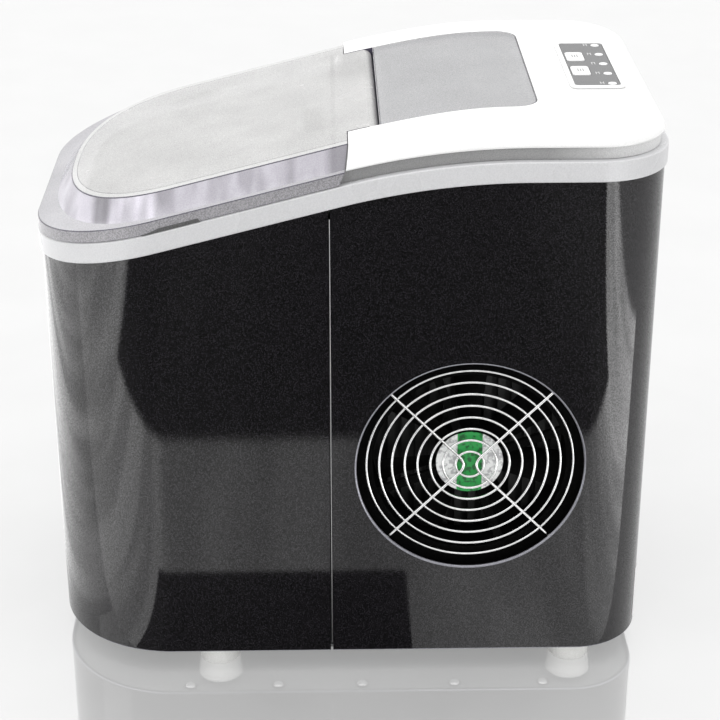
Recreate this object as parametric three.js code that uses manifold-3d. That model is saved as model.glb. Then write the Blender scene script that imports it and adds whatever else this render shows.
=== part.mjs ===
// A countertop ice maker, in millimetres, +Z up. The lid end faces -Y, the fan vent is in the +X side,
// and the origin is on the floor under the middle of the case.
import * as THREE from "three";
import { mergeVertices } from "three/addons/utils/BufferGeometryUtils.js";
import Module from "manifold-3d";

const wasm = await Module();
wasm.setup();

// ---------------------------------------------------------------- driving dimensions
const gap = 0.3; // clearance between pieces that touch
const runningGap = 0.6; // clearance beside pieces that move

// case
const caseLength = 363;
const caseWidth = 241;
const frontCornerRadius = 72.5;
const rearCornerRadius = 42;
const shellWall = 2;
const shellBottom = 15.1;
const seamY = -11;
const seamGap = 1.4;

// the rim's lower edge: level at the rear, an arc, then a straight slope down to the front
const rimHeightRear = 321.4;
const rimCurveRear = 102.5;
const rimCurveRadius = 430;
const rimSlope = 0.258;

// rim, top cover and lid, as rises above the rim's lower edge
const rimProud = 1.5;
const rimRise = 12.2;
const rimWall = 2.5;
const creaseRise = 19.5;
const lidTopRise = 28.6;
const coverTopRise = 30.6;
const coverInset = 1;
const coverRoll = 20;
const neckInset = 3;
const skin = 2.5;

// hinged lid
const tongueHalf = 78.5;
const hingeY = 12.5;
const knuckleRadius = 5.5;
const hingePinRadius = 2;
const cheekWall = 4;
const noseY = -98;
const noseDepth = 68;
const nosePower = 2.4;
const bubbleHalf = 100;
const bubbleFlare = 18;
const flangeRise = 19.8;
const notchY = [-115.5, -82.5];
const lidWallY = -9;
const splitY = [-5, -1.6, 1]; // joint between lid and cheeks at the rim, the crease and the top

// window
const windowRear = 108.5;
const windowCornerRadius = 13;
const windowThickness = 2.5;
const windowLedge = 4;

// control panel
const panelY = 146.7;
const panelHalf = [44, 13.2];
const panelFrame = 3;
const panelRise = 1.2;
const buttonSize = [17.5, 11];
const buttonX = 14.75;
const buttonOffsetY = -6.8;
const buttonProud = 0.7;
const buttonTravel = 0.8;
const ledPitch = 20;
const ledOffsetY = 8.8;
const ledRadius = 2.7;
const boardDrop = 11;

// fan and vent
const ventY = 71.7;
const ventZ = 142.5;
const ventRadius = 67.5;
const fanSize = 120;
const fanDepth = 25;
const fanFlangeMargin = 3.5; // the flange reaches this far beyond the vent hole
const fanFlangeThickness = 3;
const fanRecess = 7.5; // from the case side to the fan's face
const fanFace = caseWidth / 2 - fanRecess;
const fanBore = fanSize / 2 - 2;
const fanScrewReach = fanSize / 2 - 7.5; // screw pattern, from the fan's middle
const fanHubRadius = 20;
const rotorReach = fanBore - 2;
const bladeChord = 20;
const bladeThickness = 1.6;
const bladeTwist = 48; // degrees
const bladeCount = 7;
const guardRings = 8;
const guardFirst = 8.4;
const guardMargin = 5.9; // from the outermost ring to the edge of the vent hole
const guardPitch = (ventRadius - guardMargin - guardFirst) / (guardRings - 1);
const guardWire = 0.75;
const guardRecess = 5.1; // from the case side to the rings
const guardX = caseWidth / 2 - guardRecess;
const guardBend = 4;

// bin, ice chamber and reservoir
const linerWall = 2.5;
const linerHalf = 95;
const binFront = -158;
const binFrontRadius = 42;
const binRear = -2;
const binFloor = 48;
const linerLip = 8;
const lipThickness = 2;

// water tray, fingers and shovel, all about one axis across the ice chamber
const trayY = 54;
const trayZ = 282;
const trayRadius = 38;
const trayWall = 2.5;
const trayHalf = linerHalf - 23; // leaves room for the shovel's arms and the trunnions
const trayLip = 70; // degrees from straight down to each lip
const trunnionRadius = 4;
const shovelRadius = [trayRadius + 2, trayRadius + 12];
const shovelRest = -65; // degrees from straight down, towards the bin
const shovelArmX = [trayHalf + 6, trayHalf + 9];
const chamberRoom = 14; // between the tray and the chamber's walls
const chamberRear = trayY + trayRadius + chamberRoom;
const chamberFall = 6; // the chamber's floor slopes to the bin
const chamberFloor = [-chamberFall, 0].map((z) => trayZ - trayRadius - chamberRoom + z);
const fingerMargin = 16; // from the outermost finger's middle to the tray's end
const fingerPitch = (trayHalf - fingerMargin) / 2;
const fingerRow = 12;
const fingerRadius = 5;
const fingerReach = 24;
const manifoldRise = 36;
const manifoldRadius = 6;

// basket
const basketRoom = [9, 8]; // beside it, and in front and behind
const basketHalf = linerHalf - basketRoom[0];
const basketFront = binFront + basketRoom[1];
const basketRear = binRear - basketRoom[1];
const basketRadius = [binFrontRadius - 4, 8];
const basketZ = [120, 232];
const basketWall = 2.2;
const basketShelf = 3;

// drain
const drainZ = 54;
const drainBore = 5;
const drainKnobRadius = 9.4;

// base and feet
const plateZ = [16.5, 18.5];
const footX = 99;
const footY = [-81.5, 138.5];
const footRadius = [12.3, 13.8]; // at the floor and at the shoulder
const footCollar = [8.6, 3]; // radius and height of the neck under the plate
const footRecess = [5.5, 8];
const screwRadius = 2;

// machinery
const compressorAt = [-38, 88];
const compressorRadius = 48;
const compressorZ = [28, 170];
const condenserDepth = 32;
const condenserRoom = 4; // between the condenser and the fan
const condenserX = [-condenserDepth, 0].map((x) => fanFace - fanDepth - condenserRoom + x);
const condenserSize = [116, 125];
const pumpAt = [30, 26];
const dryerAt = [20, 160];

// ---------------------------------------------------------------- finishes
const finish = (color, roughness, metalness, opacity = 1) =>
  new THREE.MeshStandardMaterial({
    color,
    roughness,
    metalness,
    opacity,
    transparent: opacity < 1,
  });
const metallicPaint = finish(0x2b292b, 0.25, 0.6);
const whiteGloss = finish(0xf4f4f2, 0.25, 0);
const whiteLiner = finish(0xe9ebea, 0.4, 0);
const smokeClear = finish(0xd2d2d0, 0.12, 0, 0.45);
const greyPanel = finish(0x86878a, 0.4, 0);
const blackPlastic = finish(0x161617, 0.45, 0);
const chrome = finish(0xc9cbcd, 0.15, 1);
const steel = finish(0xb2b5b8, 0.35, 1);
const copper = finish(0xb9714a, 0.35, 1);
const rubberWhite = finish(0xdcdcd8, 0.8, 0);
const rubberBlack = finish(0x1c1c1c, 0.85, 0);
const foamWhite = finish(0xf1efe6, 0.9, 0);
const boardGreen = finish(0x1f5b38, 0.5, 0);
const labelPaper = finish(0xefefec, 0.6, 0);
const compressorBlack = finish(0x17181a, 0.4, 0.4);

// ---------------------------------------------------------------- solids
function solidOf(geometry) {
  const bare = new THREE.BufferGeometry();
  bare.setAttribute("position", geometry.getAttribute("position").clone());
  if (geometry.index) bare.setIndex(geometry.index.clone());
  const merged = mergeVertices(bare, 1e-4);
  const corners = merged.index.array;
  const kept = [];
  for (let i = 0; i < corners.length; i += 3) {
    const [a, b, c] = corners.slice(i, i + 3);
    if (a !== b && b !== c && a !== c) kept.push(a, b, c);
  }
  return new wasm.Manifold(
    new wasm.Mesh({
      numProp: 3,
      vertProperties: new Float32Array(merged.attributes.position.array),
      triVerts: new Uint32Array(kept),
    }),
  );
}

function geometryOf(solid) {
  const { vertProperties, triVerts } = solid.getMesh();
  const geometry = new THREE.BufferGeometry();
  geometry.setAttribute("position", new THREE.BufferAttribute(vertProperties, 3));
  geometry.setIndex(new THREE.BufferAttribute(triVerts, 1));
  geometry.computeVertexNormals();
  return geometry;
}

const model = new THREE.Group();
function addPiece(name, solid, material) {
  const mesh = new THREE.Mesh(geometryOf(solid), material.clone());
  mesh.name = name;
  model.add(mesh);
}

const join = (first, ...rest) => rest.reduce((whole, next) => whole.add(next), first);
const cut = (first, ...rest) => rest.reduce((whole, next) => whole.subtract(next), first);

function box(x, y, z) {
  const size = [x, y, z].map(([low, high]) => high - low);
  const middle = [x, y, z].map(([low, high]) => (low + high) / 2);
  return solidOf(new THREE.BoxGeometry(...size).translate(...middle));
}

// A turned solid: profile points are [radius, height], from the axis at the foot to the axis at the top.
function turned(profile, sides = 24) {
  const points = profile.map(([r, h]) => new THREE.Vector2(r, h));
  return new THREE.LatheGeometry(points, sides).rotateX(Math.PI / 2);
}
const upright = (profile, [x, y, z], sides) => solidOf(turned(profile, sides).translate(x, y, z));
const alongX = (profile, [x, y, z], sides) =>
  solidOf(turned(profile, sides).rotateY(Math.PI / 2).translate(x, y, z));
const alongY = (profile, [x, y, z], sides) =>
  solidOf(turned(profile, sides).rotateX(-Math.PI / 2).translate(x, y, z));
const rod = (radius, length) => [
  [0, 0],
  [radius, 0],
  [radius, length],
  [0, length],
];

// An outline in the Y-Z plane carried along X.
function slabAlongX(outline, [low, high]) {
  const shape = new THREE.Shape(outline.map(([y, z]) => new THREE.Vector2(y, z)));
  const geometry = new THREE.ExtrudeGeometry(shape, { depth: high - low, bevelEnabled: false });
  const turn = new THREE.Matrix4().makeBasis(
    new THREE.Vector3(0, 1, 0),
    new THREE.Vector3(0, 0, 1),
    new THREE.Vector3(1, 0, 0),
  );
  return solidOf(geometry.applyMatrix4(turn).translate(low, 0, 0));
}

// A round tube or wire along a smooth curve through the points.
function tube(points, radius, sides = 8, steps = 24) {
  const section = new THREE.Shape();
  section.absarc(0, 0, radius, 0, 2 * Math.PI);
  const path = new THREE.CatmullRomCurve3(points.map((p) => new THREE.Vector3(...p)), false, "centripetal");
  return solidOf(
    new THREE.ExtrudeGeometry(section, {
      steps,
      curveSegments: sides / 2,
      bevelEnabled: false,
      extrudePath: path,
    }),
  );
}

// ---------------------------------------------------------------- outlines seen from above
// Each outline is its +X half, from the front to the rear; the other half mirrors it.
const casePlan = {
  half: caseWidth / 2,
  front: -caseLength / 2,
  rear: caseLength / 2,
  frontRadius: frontCornerRadius,
  rearRadius: rearCornerRadius,
};
const inset = (plan, by) => ({
  half: plan.half - by,
  front: plan.front + by,
  rear: plan.rear - by,
  frontRadius: plan.frontRadius - by,
  rearRadius: plan.rearRadius - by,
});
const rimPlan = inset(casePlan, -rimProud);

const slopeAngle = Math.atan(rimSlope);
const rimCurveFront = rimCurveRear - rimCurveRadius * Math.sin(slopeAngle);
const curveSteps = 8;
const stations = Array.from(
  { length: curveSteps + 1 },
  (_, i) => rimCurveFront + ((rimCurveRear - rimCurveFront) * i) / curveSteps,
);

function halfOutline(plan, steps = 7) {
  const quarter = (x, y, radius, from) =>
    Array.from({ length: steps + 1 }, (_, i) => {
      const angle = ((from + (90 * i) / steps) * Math.PI) / 180;
      return [x + radius * Math.cos(angle), y + radius * Math.sin(angle)];
    });
  const sideFront = plan.front + plan.frontRadius;
  const sideRear = plan.rear - plan.rearRadius;
  return [
    ...quarter(plan.half - plan.frontRadius, sideFront, plan.frontRadius, -90),
    ...stations.filter((y) => y > sideFront + 1 && y < sideRear - 1).map((y) => [plan.half, y]),
    ...quarter(plan.half - plan.rearRadius, sideRear, plan.rearRadius, 0),
  ];
}

// The lid's bubble: a rounded nose, then straight sides to the rear.
function bubbleOutline(by, rear, steps = 12) {
  const half = bubbleHalf + by;
  const depth = noseDepth + by / 2;
  const nose = Array.from({ length: steps }, (_, i) => {
    const angle = ((i + 0.5) / steps) * (Math.PI / 2);
    return [
      half * Math.sin(angle) ** (2 / nosePower),
      noseY - depth * Math.cos(angle) ** (2 / nosePower),
    ];
  });
  const sides = [noseY, ...stations.filter((y) => y < rear - 1), rear];
  return [...nose, ...sides.map((y) => [half, y])];
}

// ---------------------------------------------------------------- surfaces that follow the sloping top
function rimZ(y) {
  if (y >= rimCurveRear) return rimHeightRear;
  const along = rimCurveRear - y;
  const arcLength = rimCurveRear - rimCurveFront;
  const reach = Math.min(along, arcLength);
  const drop = rimCurveRadius - Math.sqrt(rimCurveRadius ** 2 - reach ** 2);
  return rimHeightRear - drop - rimSlope * Math.max(0, along - arcLength);
}
// The top surface lies a little higher over the rear than over the lid.
function topRise(y) {
  const t = THREE.MathUtils.smoothstep(y, hingeY, rimCurveRear - coverRoll);
  return lidTopRise + (coverTopRise - lidTopRise) * t;
}
const above = (rise) => (y) => rimZ(y) + rise;
const belowTop = (depth) => (y) => rimZ(y) + topRise(y) - depth;
const level = (z) => () => z;

function ring(outline, height) {
  const right = outline.map(([x, y]) => [x, y, height(y)]);
  const left = outline.map(([x, y]) => [-x, y, height(y)]).reverse();
  return [...right, ...left];
}

// A closed solid through a stack of rings with the same number of points, the lowest first.
function loft(rings) {
  const count = rings[0].length;
  const faces = [];
  for (let level = 0; level + 1 < rings.length; level++) {
    for (let i = 0; i < count; i++) {
      const a = level * count + i;
      const b = level * count + ((i + 1) % count);
      faces.push(a, b, b + count, a, b + count, a + count);
    }
  }
  const top = (rings.length - 1) * count;
  for (let i = 0; i + 1 < count / 2; i++) {
    const left = count - 1 - i;
    faces.push(left, i + 1, i, left, left - 1, i + 1);
    faces.push(top + left, top + i, top + i + 1, top + left, top + i + 1, top + left - 1);
  }
  const geometry = new THREE.BufferGeometry();
  geometry.setAttribute("position", new THREE.Float32BufferAttribute(rings.flat(2), 3));
  geometry.setIndex(faces);
  return solidOf(geometry);
}
const slab = (outline, low, high) => loft([ring(outline, low), ring(outline, high)]);

const far = 400; // beyond every side of the case
const behind = (y) => box([-far, far], [y, far], [-far, 2 * far]);
const inFrontOf = (y) => box([-far, far], [-far, y], [-far, 2 * far]);
const hingeZ = rimZ(hingeY) + lidTopRise - knuckleRadius / Math.cos(slopeAngle * 0.8);

// The joint face between lid and cheeks leans back from the rim to the crease and on to the top.
const [splitFoot, splitCrease, splitTop] = splitY;
const splitFace = (shift) => [
  [splitFoot + shift, rimZ(splitFoot) + rimRise - 4],
  [splitFoot + shift, rimZ(splitFoot) + rimRise],
  [splitCrease + shift, rimZ(splitCrease) + creaseRise],
  [splitTop + shift, rimZ(splitTop) + lidTopRise + 4],
];

// ---------------------------------------------------------------- case
function shellRing() {
  const outer = slab(halfOutline(casePlan), level(shellBottom), above(-gap));
  const inner = slab(halfOutline(inset(casePlan, shellWall)), level(shellBottom - 5), above(5));
  return cut(outer, inner);
}

function frontShell() {
  const drainHole = alongY(rod(drainKnobRadius + runningGap, 30), [0, -caseLength / 2 - 10, drainZ]);
  return cut(shellRing(), behind(seamY - seamGap / 2), drainHole);
}

const slotCount = 9;
const slotPitch = 11;
const slotLength = 76;
const slotHeight = 3.2;
function intakeSlots() {
  const lowest = ventZ - ((slotCount - 1) * slotPitch) / 2;
  return Array.from({ length: slotCount }, (_, i) => {
    const z = lowest + i * slotPitch;
    const y = [ventY - slotLength / 2, ventY + slotLength / 2];
    return box([-caseWidth, -caseWidth / 2 + 10], y, [z - slotHeight / 2, z + slotHeight / 2]);
  });
}

const ventHole = () => alongX(rod(ventRadius, 40), [caseWidth / 2 - 20, ventY, ventZ], 48);

const glandAt = [-62, 48];
const glandBore = 4;
const glandRadius = 8;
function rearShell() {
  const glandHole = alongY(rod(glandRadius + gap, 30), [glandAt[0], caseLength / 2 - 20, glandAt[1]]);
  return cut(shellRing(), inFrontOf(seamY + seamGap / 2), ventHole(), glandHole, ...intakeSlots());
}

// A T-shaped joiner behind the seam; its thin web shows in the seam.
function seamStrip(side) {
  const inside = caseWidth / 2 - shellWall - gap;
  const z = [shellBottom + 6, rimZ(seamY) - 6];
  const flange = box([inside - 2, inside], [seamY - 8, seamY + 8], z);
  const web = box([inside - 1, caseWidth / 2 - gap], [seamY - 0.35, seamY + 0.35], z);
  const strip = join(flange, web);
  return side > 0 ? cut(strip, ventHole()) : strip.mirror([1, 0, 0]);
}

const rimClearance = 1; // between the rim's opening and the liner
function topRim() {
  const outer = slab(halfOutline(rimPlan), above(0), above(rimRise));
  const underside = cut(
    slab(halfOutline(inset(rimPlan, rimWall + rimProud)), above(-2), above(rimRise - rimWall)),
    slab(linerOutline(linerWall + rimClearance + rimWall), above(-4), above(rimRise + 2)),
  );
  const opening = slab(linerOutline(linerWall + rimClearance), above(-4), above(rimRise + 4));
  return cut(outer, underside, opening);
}

// ---------------------------------------------------------------- top cover, open for window and panel
function coverBody(depth, low) {
  const rings = [
    ring(halfOutline(inset(casePlan, neckInset + depth)), above(low)),
    ring(halfOutline(inset(casePlan, neckInset + depth)), above(creaseRise)),
  ];
  if (depth === 0) rings.push(ring(halfOutline(inset(casePlan, coverInset)), above(creaseRise)));
  const rollSteps = 5;
  for (let i = depth === 0 ? 1 : 0; i <= rollSteps; i++) {
    const angle = ((i / rollSteps) * Math.PI) / 2;
    const by = coverInset + depth + coverRoll * (1 - Math.cos(angle));
    const share = Math.sin(angle);
    const height = (y) => rimZ(y) + creaseRise + (topRise(y) - depth - creaseRise) * share;
    if (depth > 0 && i === 0) continue;
    rings.push(ring(halfOutline(inset(casePlan, by)), height));
  }
  return loft(rings);
}

const panelButtons = [
  ["power_button", -buttonX],
  ["select_button", buttonX],
];
const ledPlaces = [-2, -1, 0, 1, 2].map((i) => i * ledPitch);
const panelZ = rimHeightRear + coverTopRise;
function panelHoles(clearance) {
  const z = [panelZ - 20, panelZ + 20];
  const buttons = panelButtons.map(([, x]) =>
    box(
      [x - buttonSize[0] / 2 - clearance, x + buttonSize[0] / 2 + clearance],
      [
        panelY + buttonOffsetY - buttonSize[1] / 2 - clearance,
        panelY + buttonOffsetY + buttonSize[1] / 2 + clearance,
      ],
      z,
    ),
  );
  const leds = ledPlaces.map((x) =>
    upright(rod(ledRadius + gap, 40), [x, panelY + ledOffsetY, z[0]], 12),
  );
  return [...buttons, ...leds];
}

const windowFront = hingeY + knuckleRadius + runningGap;
const paneOutline = (by) =>
  halfOutline({
    half: tongueHalf - by,
    front: windowFront + by,
    rear: windowRear - by,
    frontRadius: 0.5,
    rearRadius: windowCornerRadius - by,
  });

function rearTopCover() {
  const outer = coverBody(0, rimRise + gap);
  const hollow = coverBody(skin, rimRise - 3);
  const cheekKeep = box(
    [-tongueHalf - cheekWall, tongueHalf + cheekWall],
    [-far, windowFront + cheekWall],
    [0, far],
  );
  const frontWall = slabAlongX(
    [[-far, 0], [splitFoot + skin, 0], ...splitFace(skin + 1), [-far, 2 * far]],
    [-far, far],
  );
  const lipRoom = slab(linerOutline(linerLip + gap), above(-20), above(rimRise + 2 * gap + lipThickness));
  const shell = cut(outer, cut(hollow, cheekKeep, frontWall));
  const ledge = slab(paneOutline(-windowLedge), belowTop(windowThickness + 3.5), belowTop(skin - 0.5));
  const paneSeat = slab(paneOutline(-gap), belowTop(windowThickness + 0.5), above(far));
  const below = slab(paneOutline(windowLedge), above(-20), above(far));
  const tongueSlot = box([-tongueHalf - gap, tongueHalf + gap], [-far, windowFront], [0, 2 * far]);
  const infront = slabAlongX(
    [[-far, 0], [splitFoot, 0], ...splitFace(0), [-far, 2 * far]],
    [-far, far],
  );
  const pinHole = alongX(
    rod(hingePinRadius + gap, 2 * (tongueHalf + cheekWall - 1)),
    [-tongueHalf - cheekWall + 1, hingeY, hingeZ],
    12,
  );
  return cut(
    join(shell, ledge),
    paneSeat,
    below,
    tongueSlot,
    infront,
    lipRoom,
    pinHole,
    ...panelHoles(gap),
  );
}

function windowPane() {
  return slab(paneOutline(0), belowTop(windowThickness + 0.2), belowTop(0.2));
}

// ---------------------------------------------------------------- lid
const lidRear = hingeY + knuckleRadius + 20;
function lidBody(depth) {
  const flange = slab(
    halfOutline(inset(rimPlan, gap + depth)),
    above(rimRise + gap - 5 * Math.sign(depth)),
    above(flangeRise - depth),
  );
  const bubble = loft([
    ring(bubbleOutline(bubbleFlare - depth, lidRear), above(flangeRise - depth - 0.5)),
    ring(bubbleOutline(-depth, lidRear), above(lidTopRise - depth)),
  ]);
  return join(flange, bubble);
}

function lid() {
  const rearWall = cut(
    slab(bubbleOutline(bubbleFlare - 4, lidRear), above(rimRise + 3), above(lidTopRise - 1)),
    inFrontOf(lidWallY),
    behind(lidWallY + skin),
  );
  const shell = cut(lidBody(0), lidBody(skin));
  const knuckle = alongX(rod(knuckleRadius, 2 * tongueHalf), [-tongueHalf, hingeY, hingeZ], 20);
  const keep = rearWall.intersect(lidBody(0.01));
  const behindCheeks = [-1, 1].map((side) =>
    slabAlongX(
      [...splitFace(-runningGap), [far, 2 * far], [far, 0], [splitFoot - runningGap, 0]],
      side < 0 ? [-far, -tongueHalf] : [tongueHalf, far],
    ),
  );
  const notches = slab(
    [notchY[0], notchY[1]].map((y) => [far, y]),
    above(rimRise - 2),
    above(rimRise + 3),
  );
  const notchInside = slab(
    [notchY[0] - 5, notchY[1] + 5].map((y) => [caseWidth / 2 - 4, y]),
    above(rimRise - 3),
    above(rimRise + 4),
  );
  const pinHoles = [-1, 1].map((side) =>
    alongX(rod(hingePinRadius + gap, 9), [side < 0 ? -tongueHalf - 1 : tongueHalf - 8, hingeY, hingeZ], 12),
  );
  return cut(
    join(cut(join(shell, keep), behind(hingeY)), knuckle),
    ...behindCheeks,
    cut(notches, notchInside),
    ...pinHoles,
  );
}

function hingePin(side) {
  const x = [tongueHalf - 7, tongueHalf + cheekWall - 1.4];
  return alongX(rod(hingePinRadius, x[1] - x[0]), [side > 0 ? x[0] : -x[1], hingeY, hingeZ], 12);
}

// ---------------------------------------------------------------- control panel
function roundedPlate(halfX, halfY, radius, z, at) {
  const plan = {
    half: halfX,
    front: at - halfY,
    rear: at + halfY,
    frontRadius: radius,
    rearRadius: radius,
  };
  return slab(halfOutline(plan, 4), level(z[0]), level(z[1]));
}
const bezelZ = [panelZ + gap, panelZ + gap + panelRise];
function controlBezel() {
  const [halfX, halfY] = panelHalf;
  return cut(
    roundedPlate(halfX + panelFrame, halfY + panelFrame, 5, bezelZ, panelY),
    roundedPlate(halfX + gap, halfY + gap, 2.4, [panelZ - 5, panelZ + 5], panelY),
  );
}
function controlOverlay() {
  return cut(
    roundedPlate(...panelHalf, 2, [bezelZ[0], bezelZ[1] - gap], panelY),
    ...panelHoles(gap),
  );
}
const boardZ = [panelZ - boardDrop - 1.6, panelZ - boardDrop];
function controlBoard() {
  const board = box(
    [-panelHalf[0] - 2, panelHalf[0] + 2],
    [panelY - panelHalf[1] - 2, panelY + panelHalf[1] + 2],
    boardZ,
  );
  const switchY = panelY + buttonOffsetY;
  const switches = panelButtons.map(([, x]) =>
    box([x - 3, x + 3], [switchY - 3, switchY + 3], [boardZ[1] - 1, boardZ[1] + 3]),
  );
  const relay = box([-12, 8], [panelY - 10, panelY + 6], [boardZ[0] - 5, boardZ[0] + 1]);
  return join(board, relay, ...switches);
}
function button(x) {
  const y = panelY + buttonOffsetY;
  const plan = {
    half: buttonSize[0] / 2,
    front: y - buttonSize[1] / 2,
    rear: y + buttonSize[1] / 2,
    frontRadius: 2,
    rearRadius: 2,
  };
  const cap = slab(halfOutline(plan, 3), level(panelZ - skin), level(bezelZ[1] - gap + buttonProud));
  const stem = box([-3, 3], [y - 3, y + 3], [boardZ[1] + 3 + buttonTravel + 0.4, panelZ - 1]);
  return join(cap, stem).translate([x, 0, 0]);
}
function ledLens(x) {
  const height = bezelZ[1] - gap - boardZ[1] - gap;
  return upright(
    [
      [0, 0],
      [ledRadius, 0],
      [ledRadius, height],
      [ledRadius * 0.6, height + 0.5],
      [0, height + 0.6],
    ],
    [x, panelY + ledOffsetY, boardZ[1] + gap],
    12,
  );
}

// ---------------------------------------------------------------- liner, foam, sensors
const binTop = above(rimRise + gap + lipThickness / 2);
function linerOutline(by) {
  return halfOutline(
    {
      half: linerHalf + by,
      front: binFront - by,
      rear: chamberRear + by,
      frontRadius: binFrontRadius + by,
      rearRadius: 4 + by,
    },
    5,
  );
}
function binSpace(by) {
  const [floorFront, floorRear] = chamberFloor;
  const profile = [
    [binFront - by - 1, binFloor - by],
    [binRear + by, binFloor - by],
    [binRear + by, floorFront - by],
    [chamberRear + by + 1, floorRear - by],
    [chamberRear + by + 1, far],
    [binFront - by - 1, far],
  ];
  const plan = slab(linerOutline(by), level(0), by > 0 ? binTop : level(far - 1));
  return plan.intersect(slabAlongX(profile, [-far, far]));
}
const hoseAt = [30, chamberRear - 8];
const suctionAt = [31 - linerHalf, trayZ + 29];
const headerRadius = manifoldRadius - 1;
function innerLiner() {
  const lip = slab(linerOutline(linerLip), above(rimRise + gap), above(rimRise + gap + lipThickness));
  const shelves = [-1, 1].map((side) =>
    box(
      side > 0 ? [basketHalf - 6, linerHalf + 1] : [-linerHalf - 1, -basketHalf + 6],
      [binFront + binFrontRadius, basketRear],
      [basketZ[0] - gap - basketShelf, basketZ[0] - gap],
    ),
  );
  const shell = cut(join(binSpace(linerWall), lip), binSpace(0));
  const bores = [
    alongX(rod(trunnionRadius + 0.4, 4 * linerHalf), [-2 * linerHalf, trayY, trayZ], 16),
    alongY(rod(drainBore, 30), [0, binFront - 15, drainZ], 16),
    alongY(rod(5 + gap, 20), [pumpAt[0], binRear - 5, binFloor + 9], 12),
    upright(rod(5 + gap, 40), [...hoseAt, chamberFloor[0] - 20], 12),
    alongY(rod(headerRadius + runningGap, 20), [suctionAt[0], chamberRear - 5, suctionAt[1]], 16),
  ];
  return cut(join(shell, ...shelves), ...bores);
}

function insulationFoam() {
  const body = slab(halfOutline(inset(casePlan, shellWall + 4)), level(32), above(-4));
  const binPocket = slab(linerOutline(linerWall + gap), level(binFloor - linerWall - gap), level(far));
  const drain = alongY(rod(drainBore + 3 + gap, 60), [0, -caseLength / 2, drainZ], 16);
  return cut(body, binPocket, behind(seamY - 10), drain);
}

const sensorZ = 288;
function iceSensor(side) {
  const x = [linerHalf - gap - 3, linerHalf - gap];
  const body = box(x, [-26, -14], [sensorZ - 7, sensorZ + 7]);
  const eye = alongX(rod(2.2, 1.5), [x[0] - 1.2, -20, sensorZ], 10);
  const sensor = join(body, eye);
  return side > 0 ? sensor : sensor.mirror([1, 0, 0]);
}

// ---------------------------------------------------------------- basket
function iceBasket() {
  const plan = (by) =>
    halfOutline(
      {
        half: basketHalf - by,
        front: basketFront + by,
        rear: basketRear - by,
        frontRadius: basketRadius[0] - by,
        rearRadius: basketRadius[1] - by,
      },
      5,
    );
  const [low, high] = basketZ;
  const shell = cut(
    slab(plan(0), level(low), level(high)),
    slab(plan(basketWall), level(low + basketWall), level(high + 5)),
  );
  const lip = cut(
    slab(plan(-3), level(high - 3), level(high)),
    slab(plan(basketWall), level(high - 5), level(high + 5)),
  );
  const slotY = [-100, -72, -44];
  const sideSlots = slotY.map((y) => box([-far, far], [y, y + 16], [low + 14, low + 22]));
  const drainSlots = [-50, -30, -10, 10, 30, 50].map((x) =>
    box([x - 2.5, x + 2.5], [basketFront + 30, basketRear - 20], [low - 5, low + 5]),
  );
  const grips = box([-far, far], [-92, -56], [high - 24, high - 12]);
  return cut(join(shell, lip), ...sideSlots, ...drainSlots, grips);
}

// ---------------------------------------------------------------- tray, shovel and evaporator
const aboutTray = (radius, degrees) => {
  const angle = (degrees * Math.PI) / 180;
  return [trayY + radius * Math.sin(angle), trayZ - radius * Math.cos(angle)];
};
function arcPoints(radius, from, to, steps) {
  return Array.from({ length: steps + 1 }, (_, i) => aboutTray(radius, from + ((to - from) * i) / steps));
}
function waterTray() {
  const trough = slabAlongX(
    [
      ...arcPoints(trayRadius, -trayLip, trayLip, 14),
      ...arcPoints(trayRadius - trayWall, trayLip, -trayLip, 14),
    ],
    [-trayHalf - trayWall, trayHalf + trayWall],
  );
  const end = (x) =>
    slabAlongX([...arcPoints(trayRadius, -trayLip, trayLip, 14), ...arcPoints(9, 110, 250, 6)], x);
  const trunnion = (side) => {
    const length = linerHalf + linerWall - 1 - trayHalf;
    const from = side > 0 ? trayHalf : -trayHalf - length;
    return alongX(rod(trunnionRadius, length), [from, trayY, trayZ], 16);
  };
  return join(
    trough,
    end([trayHalf, trayHalf + trayWall]),
    end([-trayHalf - trayWall, -trayHalf]),
    trunnion(1),
    trunnion(-1),
  );
}

function iceShovel() {
  const [low, high] = shovelRadius;
  const blade = slabAlongX(
    [...arcPoints(low, shovelRest, shovelRest + 5, 1), ...arcPoints(high, shovelRest + 5, shovelRest, 1)],
    [-shovelArmX[1], shovelArmX[1]],
  );
  const arm = (x) =>
    slabAlongX(
      [...arcPoints(high - 2, shovelRest - 3, shovelRest + 8, 2), ...arcPoints(9, 60, 230, 8)],
      x,
    );
  const bore = alongX(rod(trunnionRadius + runningGap, 4 * trayHalf), [-2 * trayHalf, trayY, trayZ], 16);
  const arms = [shovelArmX, [-shovelArmX[1], -shovelArmX[0]]].map(arm);
  return cut(join(blade, ...arms), bore);
}

const motorX = [linerHalf + linerWall + 0.8, caseWidth / 2 - shellWall - 2];
function trayMotor() {
  const body = box(motorX, [trayY - 24, trayY + 24], [trayZ - 22, trayZ + 16]);
  const socket = alongX(rod(trunnionRadius + gap, 9), [motorX[0] - 1, trayY, trayZ], 16);
  return cut(body, socket);
}
function motorOutputShaft() {
  const from = linerHalf + linerWall - 1 + gap;
  return alongX(rod(trunnionRadius - 0.4, motorX[0] + 7 - from), [from, trayY, trayZ], 12);
}

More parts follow.
